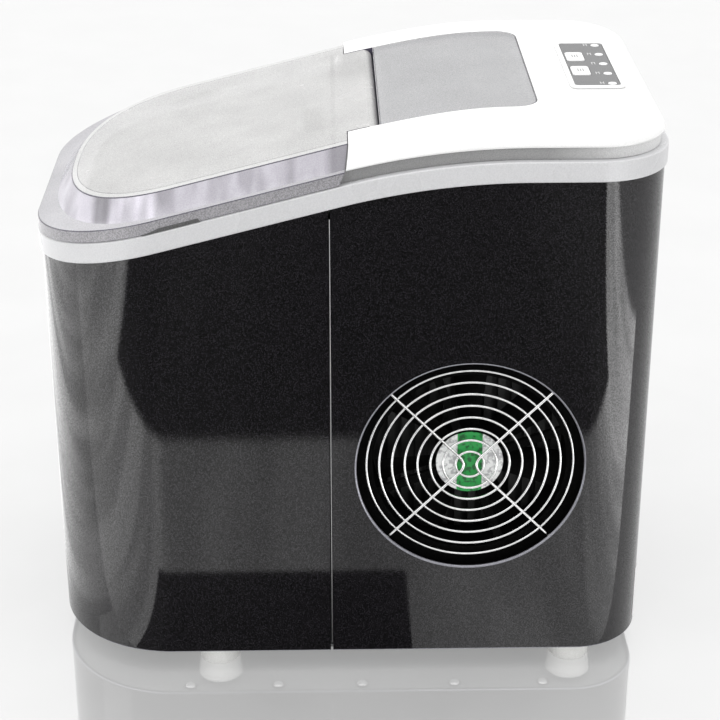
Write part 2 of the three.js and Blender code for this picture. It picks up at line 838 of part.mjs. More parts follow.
function evaporator() {
  const z = trayZ + manifoldRise;
  const reach = 2 * fingerPitch + 8;
  const header = tube(
    [
      [suctionAt[0], chamberRear + 12, suctionAt[1]],
      [suctionAt[0], chamberRear - 4, suctionAt[1]],
      [suctionAt[0], trayY + 34, z],
      [-reach - 8, trayY + 22, z],
      [-reach, trayY + fingerRow, z],
      [-reach + 12, trayY + fingerRow, z],
      [reach - 8, trayY + fingerRow, z],
      [reach + 4, trayY, z],
      [reach - 8, trayY - fingerRow, z],
      [-reach + 12, trayY - fingerRow, z],
      [-reach, trayY - fingerRow, z],
    ],
    headerRadius,
    8,
    44,
  );
  const rows = [
    [fingerRow, [-2, -1, 0, 1, 2]],
    [-fingerRow, [-1.5, -0.5, 0.5, 1.5]],
  ];
  const length = manifoldRise + fingerReach;
  const fingers = rows.flatMap(([offset, places]) =>
    places.map((place) =>
      upright(
        [
          [0, 0],
          [fingerRadius * 0.6, 0.6],
          [fingerRadius, 4],
          [fingerRadius, length],
          [0, length],
        ],
        [place * fingerPitch, trayY + offset, trayZ - fingerReach],
        10,
      ),
    ),
  );
  return join(header, ...fingers);
}
function evaporatorBracket() {
  const z = trayZ + manifoldRise + manifoldRadius;
  const plate = box([-linerHalf + gap, linerHalf - gap], [trayY - 20, trayY + 20], [z, z + 2]);
  const tabs = [-1, 1].map((side) =>
    box(
      side > 0 ? [linerHalf - gap - 2, linerHalf - gap] : [-linerHalf + gap, -linerHalf + gap + 2],
      [trayY - 20, trayY + 20],
      [z - 12, z + 1],
    ),
  );
  return join(plate, ...tabs);
}

// ---------------------------------------------------------------- fan
function fanFrame() {
  const back = fanFace - fanDepth;
  const flangeSize = 2 * (ventRadius + fanFlangeMargin);
  const square = (size, x) =>
    box(x, [ventY - size / 2, ventY + size / 2], [ventZ - size / 2, ventZ + size / 2]);
  const insideCase = slab(halfOutline(inset(casePlan, shellWall + gap)), level(0), level(far));
  const flange = square(flangeSize, [fanFace - fanFlangeThickness, fanFace]).intersect(insideCase);
  const bore = alongX(rod(fanBore, 2 * fanDepth), [back - 10, ventY, ventZ], 36);
  const body = cut(join(square(fanSize, [back, fanFace]), flange), bore);
  const hub = alongX(rod(fanHubRadius, 3), [fanFace - 4, ventY, ventZ], 24);
  const struts = [0, 1, 2, 3].map((i) =>
    box([fanFace - 4, fanFace - 1], [-2.5, 2.5], [fanHubRadius - 2, fanBore + 2])
      .rotate([i * 90 + 20, 0, 0])
      .translate([0, ventY, ventZ]),
  );
  return join(body, hub, ...struts);
}
function fanLabel() {
  return alongX(rod(fanHubRadius - 1.5, 0.6), [fanFace - 1 + gap, ventY, ventZ], 24);
}
function fanImpeller() {
  const back = fanFace - fanDepth;
  const hub = alongX(rod(fanHubRadius - 0.5, fanDepth - 8), [back + 2, ventY, ventZ], 24);
  const blade = box(
    [-bladeThickness / 2, bladeThickness / 2],
    [-bladeChord / 2, bladeChord / 2],
    [fanHubRadius - 3, rotorReach],
  );
  const blades = Array.from({ length: bladeCount }, (_, i) =>
    blade
      .rotate([0, 0, bladeTwist])
      .rotate([(i * 360) / bladeCount, 0, 0])
      .translate([back + 10.5, ventY, ventZ]),
  );
  return join(hub, ...blades);
}
function fanGuard() {
  const rings = Array.from({ length: guardRings }, (_, i) =>
    solidOf(
      new THREE.TorusGeometry(guardFirst + i * guardPitch, guardWire, 4, 16 + 2 * i)
        .rotateY(Math.PI / 2)
        .translate(guardX, ventY, ventZ),
    ),
  );
  const reach = fanScrewReach;
  const x = guardX + 1.5 * guardWire;
  const spokes = [-1, 1].map((side) =>
    tube(
      [
        [x, ventY + side * reach, ventZ + reach],
        [x, ventY + side * (guardBend + 3), ventZ + 3.4],
        [x, ventY + side * guardBend, ventZ],
        [x, ventY + side * (guardBend + 3), ventZ - 3.4],
        [x, ventY + side * reach, ventZ - reach],
      ],
      guardWire,
      6,
      16,
    ),
  );
  const eye = rod(4, x + guardWire - fanFace - gap);
  const eyes = [-reach, reach].flatMap((y) =>
    [-reach, reach].map((z) => alongX(eye, [fanFace + gap, ventY + y, ventZ + z], 12)),
  );
  return join(rings[0], ...rings.slice(1), ...spokes, ...eyes);
}

// ---------------------------------------------------------------- refrigeration
function compressor() {
  const [low, high] = compressorZ;
  const r = compressorRadius;
  const height = high - low;
  const can = upright(
    [
      [0, 0],
      [r * 0.7, 2],
      [r * 0.94, 12],
      [r, 26],
      [r, height - 40],
      [r * 0.92, height - 18],
      [r * 0.6, height - 4],
      [0, height],
    ],
    [...compressorAt, low],
    24,
  );
  const arms = grommetAngles.map((degrees) =>
    box([0, grommetReach + 9], [-11, 11], [-3, 3])
      .rotate([0, 0, degrees])
      .translate([...compressorAt, low]),
  );
  return join(can, ...arms);
}
const grommetReach = compressorRadius + 12;
const grommetAngles = [0, 120, 240];
const grommetPlaces = grommetAngles.map((degrees) => {
  const angle = (degrees * Math.PI) / 180;
  return [
    compressorAt[0] + grommetReach * Math.cos(angle),
    compressorAt[1] + grommetReach * Math.sin(angle),
  ];
});
function grommet([x, y]) {
  const height = compressorZ[0] - 3 - gap - (plateZ[1] + gap);
  return upright(
    [
      [0, 0],
      [8, 0],
      [8, height * 0.35],
      [6, height * 0.5],
      [8, height * 0.65],
      [8, height],
      [0, height],
    ],
    [x, y, plateZ[1] + gap],
    14,
  );
}
function terminalCover() {
  const y = compressorAt[1] + compressorRadius + gap;
  return box([compressorAt[0] - 18, compressorAt[0] + 18], [y, y + 14], [80, 124]);
}

const condenserY = [ventY - condenserSize[0] / 2, ventY + condenserSize[0] / 2];
const condenserZ = [ventZ - condenserSize[1] / 2, ventZ + condenserSize[1] / 2];
function condenser() {
  const block = box(condenserX, condenserY, condenserZ);
  const finCount = 14;
  const finPitch = condenserSize[0] / finCount;
  const grooves = Array.from({ length: finCount - 1 }, (_, i) => {
    const y = condenserY[0] + (i + 1) * finPitch;
    return box([condenserX[1] - 8, condenserX[1] + 5], [y - 2, y + 2], [0, far]);
  });
  return cut(block, ...grooves);
}
function filterDryer() {
  return upright(
    [
      [0, 0],
      [3, 0],
      [3, 8],
      [9, 14],
      [9, 86],
      [3, 92],
      [3, 100],
      [0, 100],
    ],
    [...dryerAt, 60],
    12,
  );
}
const pipeRadius = 3;
function dischargePipe() {
  const x = (condenserX[0] + condenserX[1]) / 2;
  return tube(
    [
      [compressorAt[0] + 20, compressorAt[1], compressorZ[1] + 0.6],
      [compressorAt[0] + 20, compressorAt[1], compressorZ[1] + 22],
      [0, 110, compressorZ[1] + 38],
      [x - 20, condenserY[1] + 8, condenserZ[1] + 4],
      [x, condenserY[1] + 8, condenserZ[1] - 10],
      [x, condenserY[1] + 5, condenserZ[1] - 14],
      [x, condenserY[1] + gap, condenserZ[1] - 14],
    ],
    pipeRadius,
    8,
    30,
  );
}
function liquidPipe() {
  const x = (condenserX[0] + condenserX[1]) / 2;
  return tube(
    [
      [x, condenserY[1] + gap, condenserZ[0] + 12],
      [x, condenserY[1] + 5, condenserZ[0] + 12],
      [x, condenserY[1] + 14, condenserZ[0] + 4],
      [44, 156, 52],
      [dryerAt[0], dryerAt[1], 46],
      [dryerAt[0], dryerAt[1], 60 - gap],
    ],
    pipeRadius,
    8,
    26,
  );
}
function suctionPipe() {
  return tube(
    [
      [suctionAt[0], chamberRear + 12 + gap, suctionAt[1]],
      [suctionAt[0], chamberRear + 20, suctionAt[1]],
      [suctionAt[0], chamberRear + 34, suctionAt[1] - 20],
      [suctionAt[0], chamberRear + 36, 220],
      [compressorAt[0] - 20, compressorAt[1] + 26, compressorZ[1] + 24],
      [compressorAt[0] - 20, compressorAt[1] + 4, compressorZ[1] + 18],
      [compressorAt[0] - 20, compressorAt[1], compressorZ[1] + 1],
    ],
    pipeRadius,
    8,
    28,
  );
}

// ---------------------------------------------------------------- water
const pumpZ = [22, 66];
function waterPump() {
  const [x, y] = pumpAt;
  const body = upright(
    [
      [0, 0],
      [20, 0],
      [20, 28],
      [14, 32],
      [14, pumpZ[1] - pumpZ[0]],
      [0, pumpZ[1] - pumpZ[0]],
    ],
    [x, y, pumpZ[0]],
    20,
  );
  const inlet = alongY(rod(5, y + 1 - binRear), [x, binRear - 1, binFloor + 9], 12);
  const mount = box([x - 24, x + 24], [y - 8, y + 8], [plateZ[1] + gap, pumpZ[0] + 3]);
  return join(body, inlet, mount);
}
function waterHose() {
  const [x, y] = pumpAt;
  return tube(
    [
      [x, y, pumpZ[1] + gap],
      [x, y, pumpZ[1] + 30],
      [x, y + 4, 120],
      [x, hoseAt[1] - 22, 170],
      [x, hoseAt[1], 205],
      [x, hoseAt[1], 240],
      [x, hoseAt[1], trayZ + 8],
      [x, hoseAt[1] - 3, trayZ + 18],
    ],
    4,
    8,
    34,
  );
}
function drainSpout() {
  const from = binFront - linerWall - gap;
  const length = from - (-caseLength / 2 + 5);
  return cut(
    alongY(rod(drainBore + 3, length), [0, from - length, drainZ], 16),
    alongY(rod(drainBore, 2 * length), [0, from - 1.5 * length, drainZ], 16),
  );
}
function drainPlug() {
  const face = -caseLength / 2 - rimProud;
  const stemEnd = binFront - linerWall - 2;
  const plug = alongY(
    [
      [0, 0],
      [drainKnobRadius, 0],
      [drainKnobRadius, 5],
      [drainBore - runningGap, 5.4],
      [drainBore - runningGap, stemEnd - face],
      [0, stemEnd - face],
    ],
    [0, face, drainZ],
    16,
  );
  const grips = [-1, 1].map((side) =>
    box(side > 0 ? [1.6, 12] : [-12, -1.6], [face - 1, face + 2.5], [drainZ - 12, drainZ + 12]),
  );
  const grip = box([-far, far], [face - 1, face + 2.5], [drainZ - 7, drainZ + 7]);
  return cut(plug, grips[0].intersect(grip), grips[1].intersect(grip));
}

function cordGland() {
  const face = caseLength / 2;
  const [x, z] = glandAt;
  return cut(
    alongY(
      [
        [0, 0],
        [glandRadius + 2, 0],
        [glandRadius + 2, 4],
        [glandRadius, 4],
        [glandRadius, 4 + shellWall + 2 * gap],
        [glandRadius + 2.5, 4 + shellWall + 2 * gap],
        [glandRadius + 1.5, 4 + shellWall + 2 * gap + 1.1],
        [0, 4 + shellWall + 2 * gap + 1.1],
      ],
      [x, face - shellWall - gap - 4, z],
      20,
    ),
    alongY(rod(glandBore, 30), [x, face - 20, z], 12),
  );
}

// ---------------------------------------------------------------- base
const footPlaces = footY.flatMap((y) => [-footX, footX].map((x) => [x, y]));
function bottomPlate() {
  const plate = slab(
    halfOutline(inset(casePlan, shellWall + gap)),
    level(plateZ[0]),
    level(plateZ[1]),
  );
  const holes = footPlaces.map(([x, y]) => upright(rod(screwRadius + gap, 10), [x, y, plateZ[0] - 4], 12));
  return cut(plate, ...holes);
}
function foot([x, y]) {
  const top = plateZ[0] - gap;
  const [low, high] = footRadius;
  const [collarRadius, collarHeight] = footCollar;
  const body = upright(
    [
      [0, 0],
      [low - 0.8, 0],
      [low, 0.8],
      [low, 3],
      [high, top - collarHeight],
      [collarRadius, top - collarHeight],
      [collarRadius, top],
      [0, top],
    ],
    [x, y, 0],
    16,
  );
  const [recessRadius, recessDepth] = footRecess;
  return cut(
    body,
    upright(rod(recessRadius, recessDepth + 5), [x, y, -5], 16),
    upright(rod(screwRadius + gap, 30), [x, y, -5], 12),
  );
}
function footScrew([x, y]) {
  const head = footRecess[1] - gap;
  return upright(
    [
      [0, head - 3],
      [3.2, head - 3],
      [4, head - 2],
      [4, head],
      [screwRadius, head],
      [screwRadius, plateZ[1] + 4],
      [0, plateZ[1] + 4],
    ],
    [x, y, 0],
    12,
  );
}

// ---------------------------------------------------------------- assembly
addPiece("front_shell", frontShell(), metallicPaint);
addPiece("rear_shell", rearShell(), metallicPaint);
addPiece("seam_strip_left", seamStrip(-1), steel);
addPiece("seam_strip_right", seamStrip(1), steel);
addPiece("top_rim", topRim(), whiteGloss);
addPiece("rear_top_cover", rearTopCover(), whiteGloss);
addPiece("window_pane", windowPane(), smokeClear);
addPiece("lid", lid(), smokeClear);
addPiece("hinge_pin_left", hingePin(-1), steel);
addPiece("hinge_pin_right", hingePin(1), steel);
addPiece("control_bezel", controlBezel(), whiteGloss);
addPiece("control_overlay", controlOverlay(), greyPanel);
addPiece("control_board", controlBoard(), boardGreen);
for (const [name, x] of panelButtons) addPiece(name, button(x), whiteGloss);
ledPlaces.forEach((x, i) => addPiece(`indicator_lens_${i + 1}`, ledLens(x), whiteGloss));
addPiece("inner_liner", innerLiner(), whiteLiner);
addPiece("insulation_foam", insulationFoam(), foamWhite);
addPiece("ice_sensor_left", iceSensor(-1), blackPlastic);
addPiece("ice_sensor_right", iceSensor(1), blackPlastic);
addPiece("ice_basket", iceBasket(), whiteLiner);
addPiece("water_tray", waterTray(), whiteLiner);
addPiece("ice_shovel", iceShovel(), whiteLiner);
addPiece("tray_motor", trayMotor(), blackPlastic);
addPiece("motor_output_shaft", motorOutputShaft(), steel);
addPiece("evaporator", evaporator(), steel);
addPiece("evaporator_bracket", evaporatorBracket(), whiteLiner);
addPiece("fan_frame", fanFrame(), blackPlastic);
addPiece("fan_label", fanLabel(), labelPaper);
addPiece("fan_impeller", fanImpeller(), blackPlastic);
addPiece("fan_guard", fanGuard(), chrome);
addPiece("compressor", compressor(), compressorBlack);
grommetPlaces.forEach((place, i) => addPiece(`compressor_grommet_${i + 1}`, grommet(place), rubberBlack));
addPiece("compressor_terminal_cover", terminalCover(), blackPlastic);
addPiece("condenser", condenser(), steel);
addPiece("filter_dryer", filterDryer(), copper);
addPiece("discharge_pipe", dischargePipe(), copper);
addPiece("liquid_pipe", liquidPipe(), copper);
addPiece("suction_pipe", suctionPipe(), copper);
addPiece("water_pump", waterPump(), blackPlastic);
addPiece("water_hose", waterHose(), rubberWhite);
addPiece("drain_spout", drainSpout(), whiteLiner);
addPiece("drain_plug", drainPlug(), rubberWhite);
addPiece("cord_gland", cordGland(), blackPlastic);
addPiece("bottom_plate", bottomPlate(), steel);
footPlaces.forEach((place, i) => {
  addPiece(`foot_${i + 1}`, foot(place), rubberWhite);
  addPiece(`foot_screw_${i + 1}`, footScrew(place), steel);
});

export default model;
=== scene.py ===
import math
from collections import namedtuple

import bmesh
import bpy
from mathutils import Matrix, Vector


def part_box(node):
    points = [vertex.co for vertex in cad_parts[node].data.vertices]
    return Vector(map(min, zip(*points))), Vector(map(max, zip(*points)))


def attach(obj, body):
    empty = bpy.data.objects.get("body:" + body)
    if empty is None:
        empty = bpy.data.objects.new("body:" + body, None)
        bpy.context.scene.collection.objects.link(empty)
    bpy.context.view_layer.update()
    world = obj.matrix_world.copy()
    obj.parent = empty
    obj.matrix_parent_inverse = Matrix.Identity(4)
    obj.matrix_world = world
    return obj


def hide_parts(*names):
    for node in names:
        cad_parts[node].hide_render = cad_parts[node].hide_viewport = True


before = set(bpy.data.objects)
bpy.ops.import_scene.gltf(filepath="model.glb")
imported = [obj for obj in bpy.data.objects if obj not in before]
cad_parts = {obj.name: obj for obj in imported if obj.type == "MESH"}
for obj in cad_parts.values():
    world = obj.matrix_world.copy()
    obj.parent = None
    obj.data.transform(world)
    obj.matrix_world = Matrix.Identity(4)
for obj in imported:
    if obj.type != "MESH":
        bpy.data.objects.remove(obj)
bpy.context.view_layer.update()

# The looks of a countertop ice maker. Lengths are in millimetres in the CAD frame (+Z up, lid end
# at -Y, fan vent at +X) and become metres when a mesh is made.
MM = 0.001


def span(node):
    low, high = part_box(node)
    return low / MM, high / MM


def middle(node):
    low, high = span(node)
    return (low + high) / 2


# ------------ sizes that the frame gives
GAP = 0.3
RUNNING_GAP = 0.6
CASE_LOW, CASE_HIGH = span("rear_shell")
HALF = CASE_HIGH.x
REAR = CASE_HIGH.y
FRONT = span("front_shell")[0].y
SHELL_FOOT = CASE_LOW.z
RIM_REAR = CASE_HIGH.z + GAP
VENT_Y = middle("fan_guard").y
VENT_Z = middle("fan_guard").z
GUARD_X = span("fan_guard")[1].x
FAN_FACE = span("fan_frame")[1].x
BEZEL_LOW, BEZEL_HIGH = span("control_bezel")
OVERLAY_LOW, OVERLAY_HIGH = span("control_overlay")
PANEL_Y = middle("control_bezel").y
PANEL_Z = BEZEL_LOW.z - GAP
HINGE_Y = middle("hinge_pin_left").y
HINGE_Z = middle("hinge_pin_left").z
PLATE_LOW, PLATE_HIGH = span("bottom_plate")
GLAND = middle("cord_gland")
GLAND_END = span("cord_gland")[1].y
PLUG_LOW, PLUG_HIGH = span("drain_plug")

# ------------ sizes shared with the CAD source
FRONT_RADIUS = 72.5
REAR_RADIUS = 42
SHELL_WALL = 2
SEAM_Y = -11
SEAM_GAP = 1.4
RIM_CURVE_REAR = 102.5
RIM_CURVE_RADIUS = 430
RIM_SLOPE = 0.258
RIM_PROUD = 1.5
RIM_RISE = 12.2
CREASE_RISE = 19.5
LID_TOP_RISE = 28.6
COVER_TOP_RISE = 30.6
COVER_INSET = 1
COVER_ROLL = 20
NECK_INSET = 3
SKIN = 2.5
TONGUE_HALF = 78.5
KNUCKLE_RADIUS = 5.5
HINGE_PIN_RADIUS = 2
CHEEK_WALL = 4
NOSE_Y = -98
NOSE_DEPTH = 68
NOSE_POWER = 2.4
BUBBLE_HALF = 100
BUBBLE_FLARE = 18
FLANGE_RISE = 19.8
NOTCH_Y = (-115.5, -82.5)
LID_WALL_Y = -9
SPLIT_Y = (-5, -1.6, 1)
WINDOW_REAR = 108.5
WINDOW_RADIUS = 13
WINDOW_THICKNESS = 2.5
WINDOW_LEDGE = 4
WINDOW_FRONT = HINGE_Y + KNUCKLE_RADIUS + RUNNING_GAP
BUTTON_SIZE = (17.5, 11)
BUTTON_X = (-14.75, 14.75)
BUTTON_Y = PANEL_Y - 6.8
LED_PITCH = 20
LED_Y = PANEL_Y + 8.8
LED_RADIUS = 2.7
LED_NUMBERS = range(-2, 3)
VENT_RADIUS = 67.5
FAN_DEPTH = 25
HUB_RADIUS = 20
ROTOR_REACH = 56
BLADES = 7
GUARD_RINGS = 8
GUARD_FIRST = 8.4
GUARD_PITCH = 7.6
GUARD_WIRE = 0.75
GUARD_EYE = 52.5
LINER_HALF = 95
BIN_FRONT = -158
BIN_RADIUS = 42
CHAMBER_REAR = 106
LINER_LIP = 8
LIP_THICKNESS = 2
LINER_WALL = 2.5
DRAIN_Z = 54
DRAIN_BORE = 5
GLAND_RADIUS = 8
KNOB_RADIUS = 9.4
FOOT_X = 99
FOOT_Y = (-81.5, 138.5)

# ------------ sizes of the looks alone
BASE_SCREW_X = 111
BASE_SCREW_Y = (-100, -45, 8, 66, 122)
FAR = 400  # past the machine on every side


# ------------ materials
FINE_BUMP = 0.0002  # metres
FLAKE_BUMP = 0.0001
SMUDGES = 18  # waves per metre


def rgba(colour):
    """A colour is (red, green, blue), or one number for a grey."""
    return (*colour, 1) if isinstance(colour, tuple) else (colour, colour, colour, 1)


class Look:
    """A material being made: its shader, and the nodes that feed the shader's sockets."""

    def __init__(self, name):
        self.made = bpy.data.materials.new(name)
        self.made.use_nodes = True
        self.shader = self.made.node_tree.nodes["Principled BSDF"]

    def node(self, kind, **settings):
        made = self.made.node_tree.nodes.new(kind)
        for setting, value in settings.items():
            setattr(made, setting, value)
        return made

    def link(self, source, socket):
        self.made.node_tree.links.new(source, socket)

    def feed(self, **sources):
        for socket, source in sources.items():
            self.link(source, self.shader.inputs[socket.replace("_", " ")])

    def fix(self, **values):
        for socket, value in values.items():
            self.shader.inputs[socket.replace("_", " ")].default_value = value

    def noise(self, scale, detail=3.0, stretch=(1, 1, 1)):
        """Noise over the object's own coordinates; scale is in waves per metre."""
        place = self.node("ShaderNodeTexCoord")
        mapping = self.node("ShaderNodeMapping")
        mapping.inputs["Scale"].default_value = stretch
        self.link(place.outputs["Object"], mapping.inputs["Vector"])
        noise = self.node("ShaderNodeTexNoise")
        noise.inputs["Scale"].default_value = scale
        noise.inputs["Detail"].default_value = detail
        self.link(mapping.outputs["Vector"], noise.inputs["Vector"])
        return noise.outputs["Fac"]

    def colour(self, factor, low, high, edges=(0.35, 0.65)):
        ramp = self.node("ShaderNodeValToRGB")
        first, last = ramp.color_ramp.elements
        first.position, last.position = edges
        first.color, last.color = rgba(low), rgba(high)
        self.link(factor, ramp.inputs["Fac"])
        return ramp.outputs["Color"]

    def value(self, factor, low, high, edges=(0.3, 0.7)):
        scaled = self.node("ShaderNodeMapRange")
        limits = {"From Min": edges[0], "From Max": edges[1], "To Min": low, "To Max": high}
        for socket, limit in limits.items():
            scaled.inputs[socket].default_value = limit
        self.link(factor, scaled.inputs["Value"])
        return scaled.outputs["Result"]

    def bump(self, factor, strength, depth):
        bump = self.node("ShaderNodeBump")
        bump.inputs["Strength"].default_value = strength
        bump.inputs["Distance"].default_value = depth
        self.link(factor, bump.inputs["Height"])
        return bump.outputs["Normal"]

    def blend(self, first, second, share=None):
        """Two colours mixed by a share, or multiplied where no share is given."""
        mix = self.node("ShaderNodeMix", data_type="RGBA")
        if share:
            self.link(share, mix.inputs["Factor"])
        else:
            mix.blend_type = "MULTIPLY"
            mix.inputs["Factor"].default_value = 1.0
        self.link(first, mix.inputs["A"])
        self.link(second, mix.inputs["B"])
        return mix.outputs["Result"]

    def y(self):
        place = self.node("ShaderNodeTexCoord")
        axes = self.node("ShaderNodeSeparateXYZ")
        self.link(place.outputs["Object"], axes.inputs["Vector"])
        return axes.outputs["Y"]

    def along_y(self, stops):
        """A colour that runs along the machine's length; stops are (Y in mm, colour)."""
        low, high = stops[0][0], stops[-1][0]
        ramp = self.node("ShaderNodeValToRGB")
        elements = ramp.color_ramp.elements
        elements[0].color, elements[1].color = rgba(stops[0][1]), rgba(stops[-1][1])
        for y, tint in stops[1:-1]:
            elements.new((y - low) / (high - low)).color = rgba(tint)
        self.link(self.value(self.y(), 0, 1, (low * MM, high * MM)), ramp.inputs["Fac"])
        return ramp.outputs["Color"]


def surface(name, low, high, rough, grain=900, bump=0.0, stretch=(1, 1, 1), **fixed):
    """Colour from fine grain, roughness from broad smudges, and a fine bump."""
    look = Look(name)
    fine = look.noise(grain, stretch=stretch)
    broad = look.noise(SMUDGES, detail=2.0)
    look.feed(Base_Color=look.colour(fine, low, high), Roughness=look.value(broad, *rough))
    if bump:
        look.feed(Normal=look.bump(fine, bump, FINE_BUMP))
    look.fix(**fixed)
    return look.made


def metallic_paint():
    """Near-black paint with fine flakes under a clear coat that mirrors the studio."""
    look = Look("metallic_paint")
    flake = look.noise(1350, detail=2.0)
    drift = look.noise(7, detail=2.0)
    look.feed(
        Base_Color=look.colour(flake, 0.0, (0.0145, 0.013, 0.016), (0.38, 0.66)),
        Roughness=look.value(drift, 0.34, 0.44),
        Normal=look.bump(flake, 0.02, FLAKE_BUMP),
        Coat_Weight=look.value(flake, 0.62, 1.0, (0.38, 0.60)),
        Coat_Normal=look.bump(flake, 0.12, FLAKE_BUMP),
    )
    look.fix(Specular_IOR_Level=0.04, Coat_Roughness=0.03, Coat_IOR=1.55)
    return look.made


def smoke(name, low, high, alpha, rough=(0.06, 0.12), streaks=0.0, along=()):
    """Light smoked plastic; streaks darken upright bars across a wall, and along darkens it by stops along
    the length as painted shade.
    """
    look = Look(name)
    tint = look.colour(look.noise(1400, detail=1.0), low, high)
    if streaks:
        bars = look.noise(60, detail=2.0, stretch=(0.25, 1.0, 0.02))
        tint = look.blend(tint, look.colour(bars, 1 - streaks, 1, (0.42, 0.58)))
    if along:
        tint = look.blend(tint, look.along_y(along))
    broad = look.noise(25, detail=2.0)
    look.feed(Base_Color=tint, Roughness=look.value(broad, *rough), Alpha=look.value(broad, *alpha))
    return look.made


BAND_EDGE = (0.0072, 0.0078)  # metres from the fan's middle to where the green band fades out


def hub_sticker():
    """White paper with an upright green band and faint grey smudges; it carries no lettering."""
    look = Look("hub_sticker")
    offset = look.node("ShaderNodeMath", operation="SUBTRACT")
    offset.inputs[1].default_value = VENT_Y * MM
    look.link(look.y(), offset.inputs[0])
    distance = look.node("ShaderNodeMath", operation="ABSOLUTE")
    look.link(offset.outputs["Value"], distance.inputs[0])
    band = look.value(distance.outputs["Value"], 1, 0, BAND_EDGE)
    marks = look.noise(420, detail=2.0)
    paper = look.colour(marks, (0.48, 0.48, 0.49), (0.86, 0.87, 0.86), (0.40, 0.52))
    green = look.colour(marks, (0.004, 0.10, 0.02), (0.01, 0.33, 0.06), (0.40, 0.52))
    look.feed(Base_Color=look.blend(paper, green, band), Roughness=look.value(marks, 0.35, 0.5))
    return look.made


def neck_painted_shade():
    """Painted shade under the roll's overhang, lighter round the rear corner."""
    look = Look("neck_painted_shade")
    fine = look.noise(1700)
    along = look.along_y([(0, 0.28), (110, 0.34), (172, 0.80)])
    look.feed(Base_Color=look.blend(look.colour(fine, 0.78, 1.0), along),
              Roughness=look.value(fine, 0.35, 0.45))
    return look.made


PAINT = metallic_paint()
# painted highlight: a lighter metal grey for the bright thin lines along the vent lip, the shells' rolled
# foot and the seam faces
PAINT_EDGE_HIGHLIGHT = surface("paint_edge_painted_highlight", (0.22, 0.22, 0.25), (0.34, 0.34, 0.37), (0.25, 0.35), 1500, Metallic=0.8)
FAN_BLACK = surface("fan_black", 0.0015, 0.004, (0.8, 0.9), bump=0.1, Specular_IOR_Level=0.03)
HUB_BLACK = surface("hub_black", 0.002, 0.006, (0.4, 0.55), Specular_IOR_Level=0.2)
# painted shade: dark grey for the strips that stand in for the shadow in the finger notches
NOTCH_SHADE = surface("notch_painted_shade", 0.05, 0.10, (0.5, 0.6), 1200)
WHITE = surface("white_gloss", (0.83, 0.83, 0.825), (0.89, 0.89, 0.885), (0.16, 0.24), 1100, 0.02,
                Coat_Weight=0.3, Coat_Roughness=0.08)
# painted shade: the rim band is the white plastic of the housing, made grey here for the shade on its
# upright side
RIM_WHITE_SHADED = surface("rim_white_painted_shade", (0.58, 0.58, 0.59), (0.64, 0.64, 0.65), (0.25, 0.33), 1300, 0.02)
NECK_SHADE = neck_painted_shade()
# painted shade for the narrow gap between the lid's tongue and the cheeks
JOINT_SHADE = surface("joint_shadow", (0.05, 0.045, 0.08), (0.10, 0.09, 0.13), (0.5, 0.6))
LINER_WHITE = surface("liner_white", 0.74, 0.80, (0.35, 0.5), 700, 0.05)
PANEL_GREY = surface("panel_grey", 0.13, (0.21, 0.21, 0.215), (0.4, 0.5), 2200, 0.04)
PRINT_GREY = surface("print_grey", 0.60, 0.72, (0.4, 0.5), 1500)
KEY_PRINT = surface("key_print", 0.30, 0.38, (0.4, 0.5), 1500)
BUTTON_WHITE = surface("button_white", 0.80, 0.87, (0.25, 0.35), bump=0.03)
LENS_WHITE = surface("lens_white", 0.82, 0.92, (0.08, 0.16), 600, Coat_Weight=0.5)
BLACK = surface("black_plastic", 0.004, 0.012, (0.35, 0.5), 1200, 0.1)
# near black, partly the fins' own dark finish and partly painted shade for the dim inside of the case
# behind the fan
FIN_BLACK_AND_SHADE = surface("fin_black_and_painted_shade", 0.006, 0.014, (0.5, 0.6), 500)
CHROME = surface("chrome_wire", 0.74, 0.86, (0.12, 0.22), 300, Metallic=1.0)
STEEL = surface("plain_steel", 0.42, 0.52, (0.28, 0.4), 500, stretch=(1, 1, 8), Metallic=1.0)
COPPER = surface("copper_tube", (0.62, 0.27, 0.15), (0.78, 0.38, 0.24), (0.25, 0.4), 300, Metallic=1.0)
FOOT_RUBBER = surface("rubber_white", (0.76, 0.76, 0.74), (0.84, 0.84, 0.82), (0.55, 0.7), 1600, 0.15)
RUBBER = surface("rubber_black", 0.012, 0.024, (0.6, 0.8), 1600, 0.2)
FOAM = surface("foam_white", (0.78, 0.76, 0.69), (0.88, 0.86, 0.80), (0.85, 0.95), 260, 0.6)
BOARD = surface("board_green", (0.008, 0.07, 0.03), (0.02, 0.13, 0.055), (0.35, 0.5), 400, 0.1)
PAPER = surface("label_paper", 0.80, 0.86, (0.45, 0.6), bump=0.05)
COMPRESSOR = surface("compressor_paint", 0.008, 0.018, (0.3, 0.45), 700, 0.1)
PLATE_GREY = surface("base_grey", (0.22, 0.225, 0.225), (0.30, 0.305, 0.305), (0.4, 0.5), 1300, 0.05)
# painted shade: a near-black ring round each base screw's dome, where it meets the plate
SCREW_RING_SHADE = surface("screw_ring_painted_shade", 0.01, 0.03, (0.4, 0.5), 500)
STICKER = hub_sticker()
LID_SHELF = smoke("lid_shelf", (0.60, 0.59, 0.62), (0.74, 0.73, 0.76), (0.50, 0.58))
# painted shade: near-black bands on the lid's and the pane's edges, cut faces and inner wall, for the dark
# edges and lines that the clear plastic shows
LID_EDGE_SHADE = smoke("lid_edge_painted_shade", (0.05, 0.045, 0.07), (0.12, 0.11, 0.15), (0.72, 0.82))
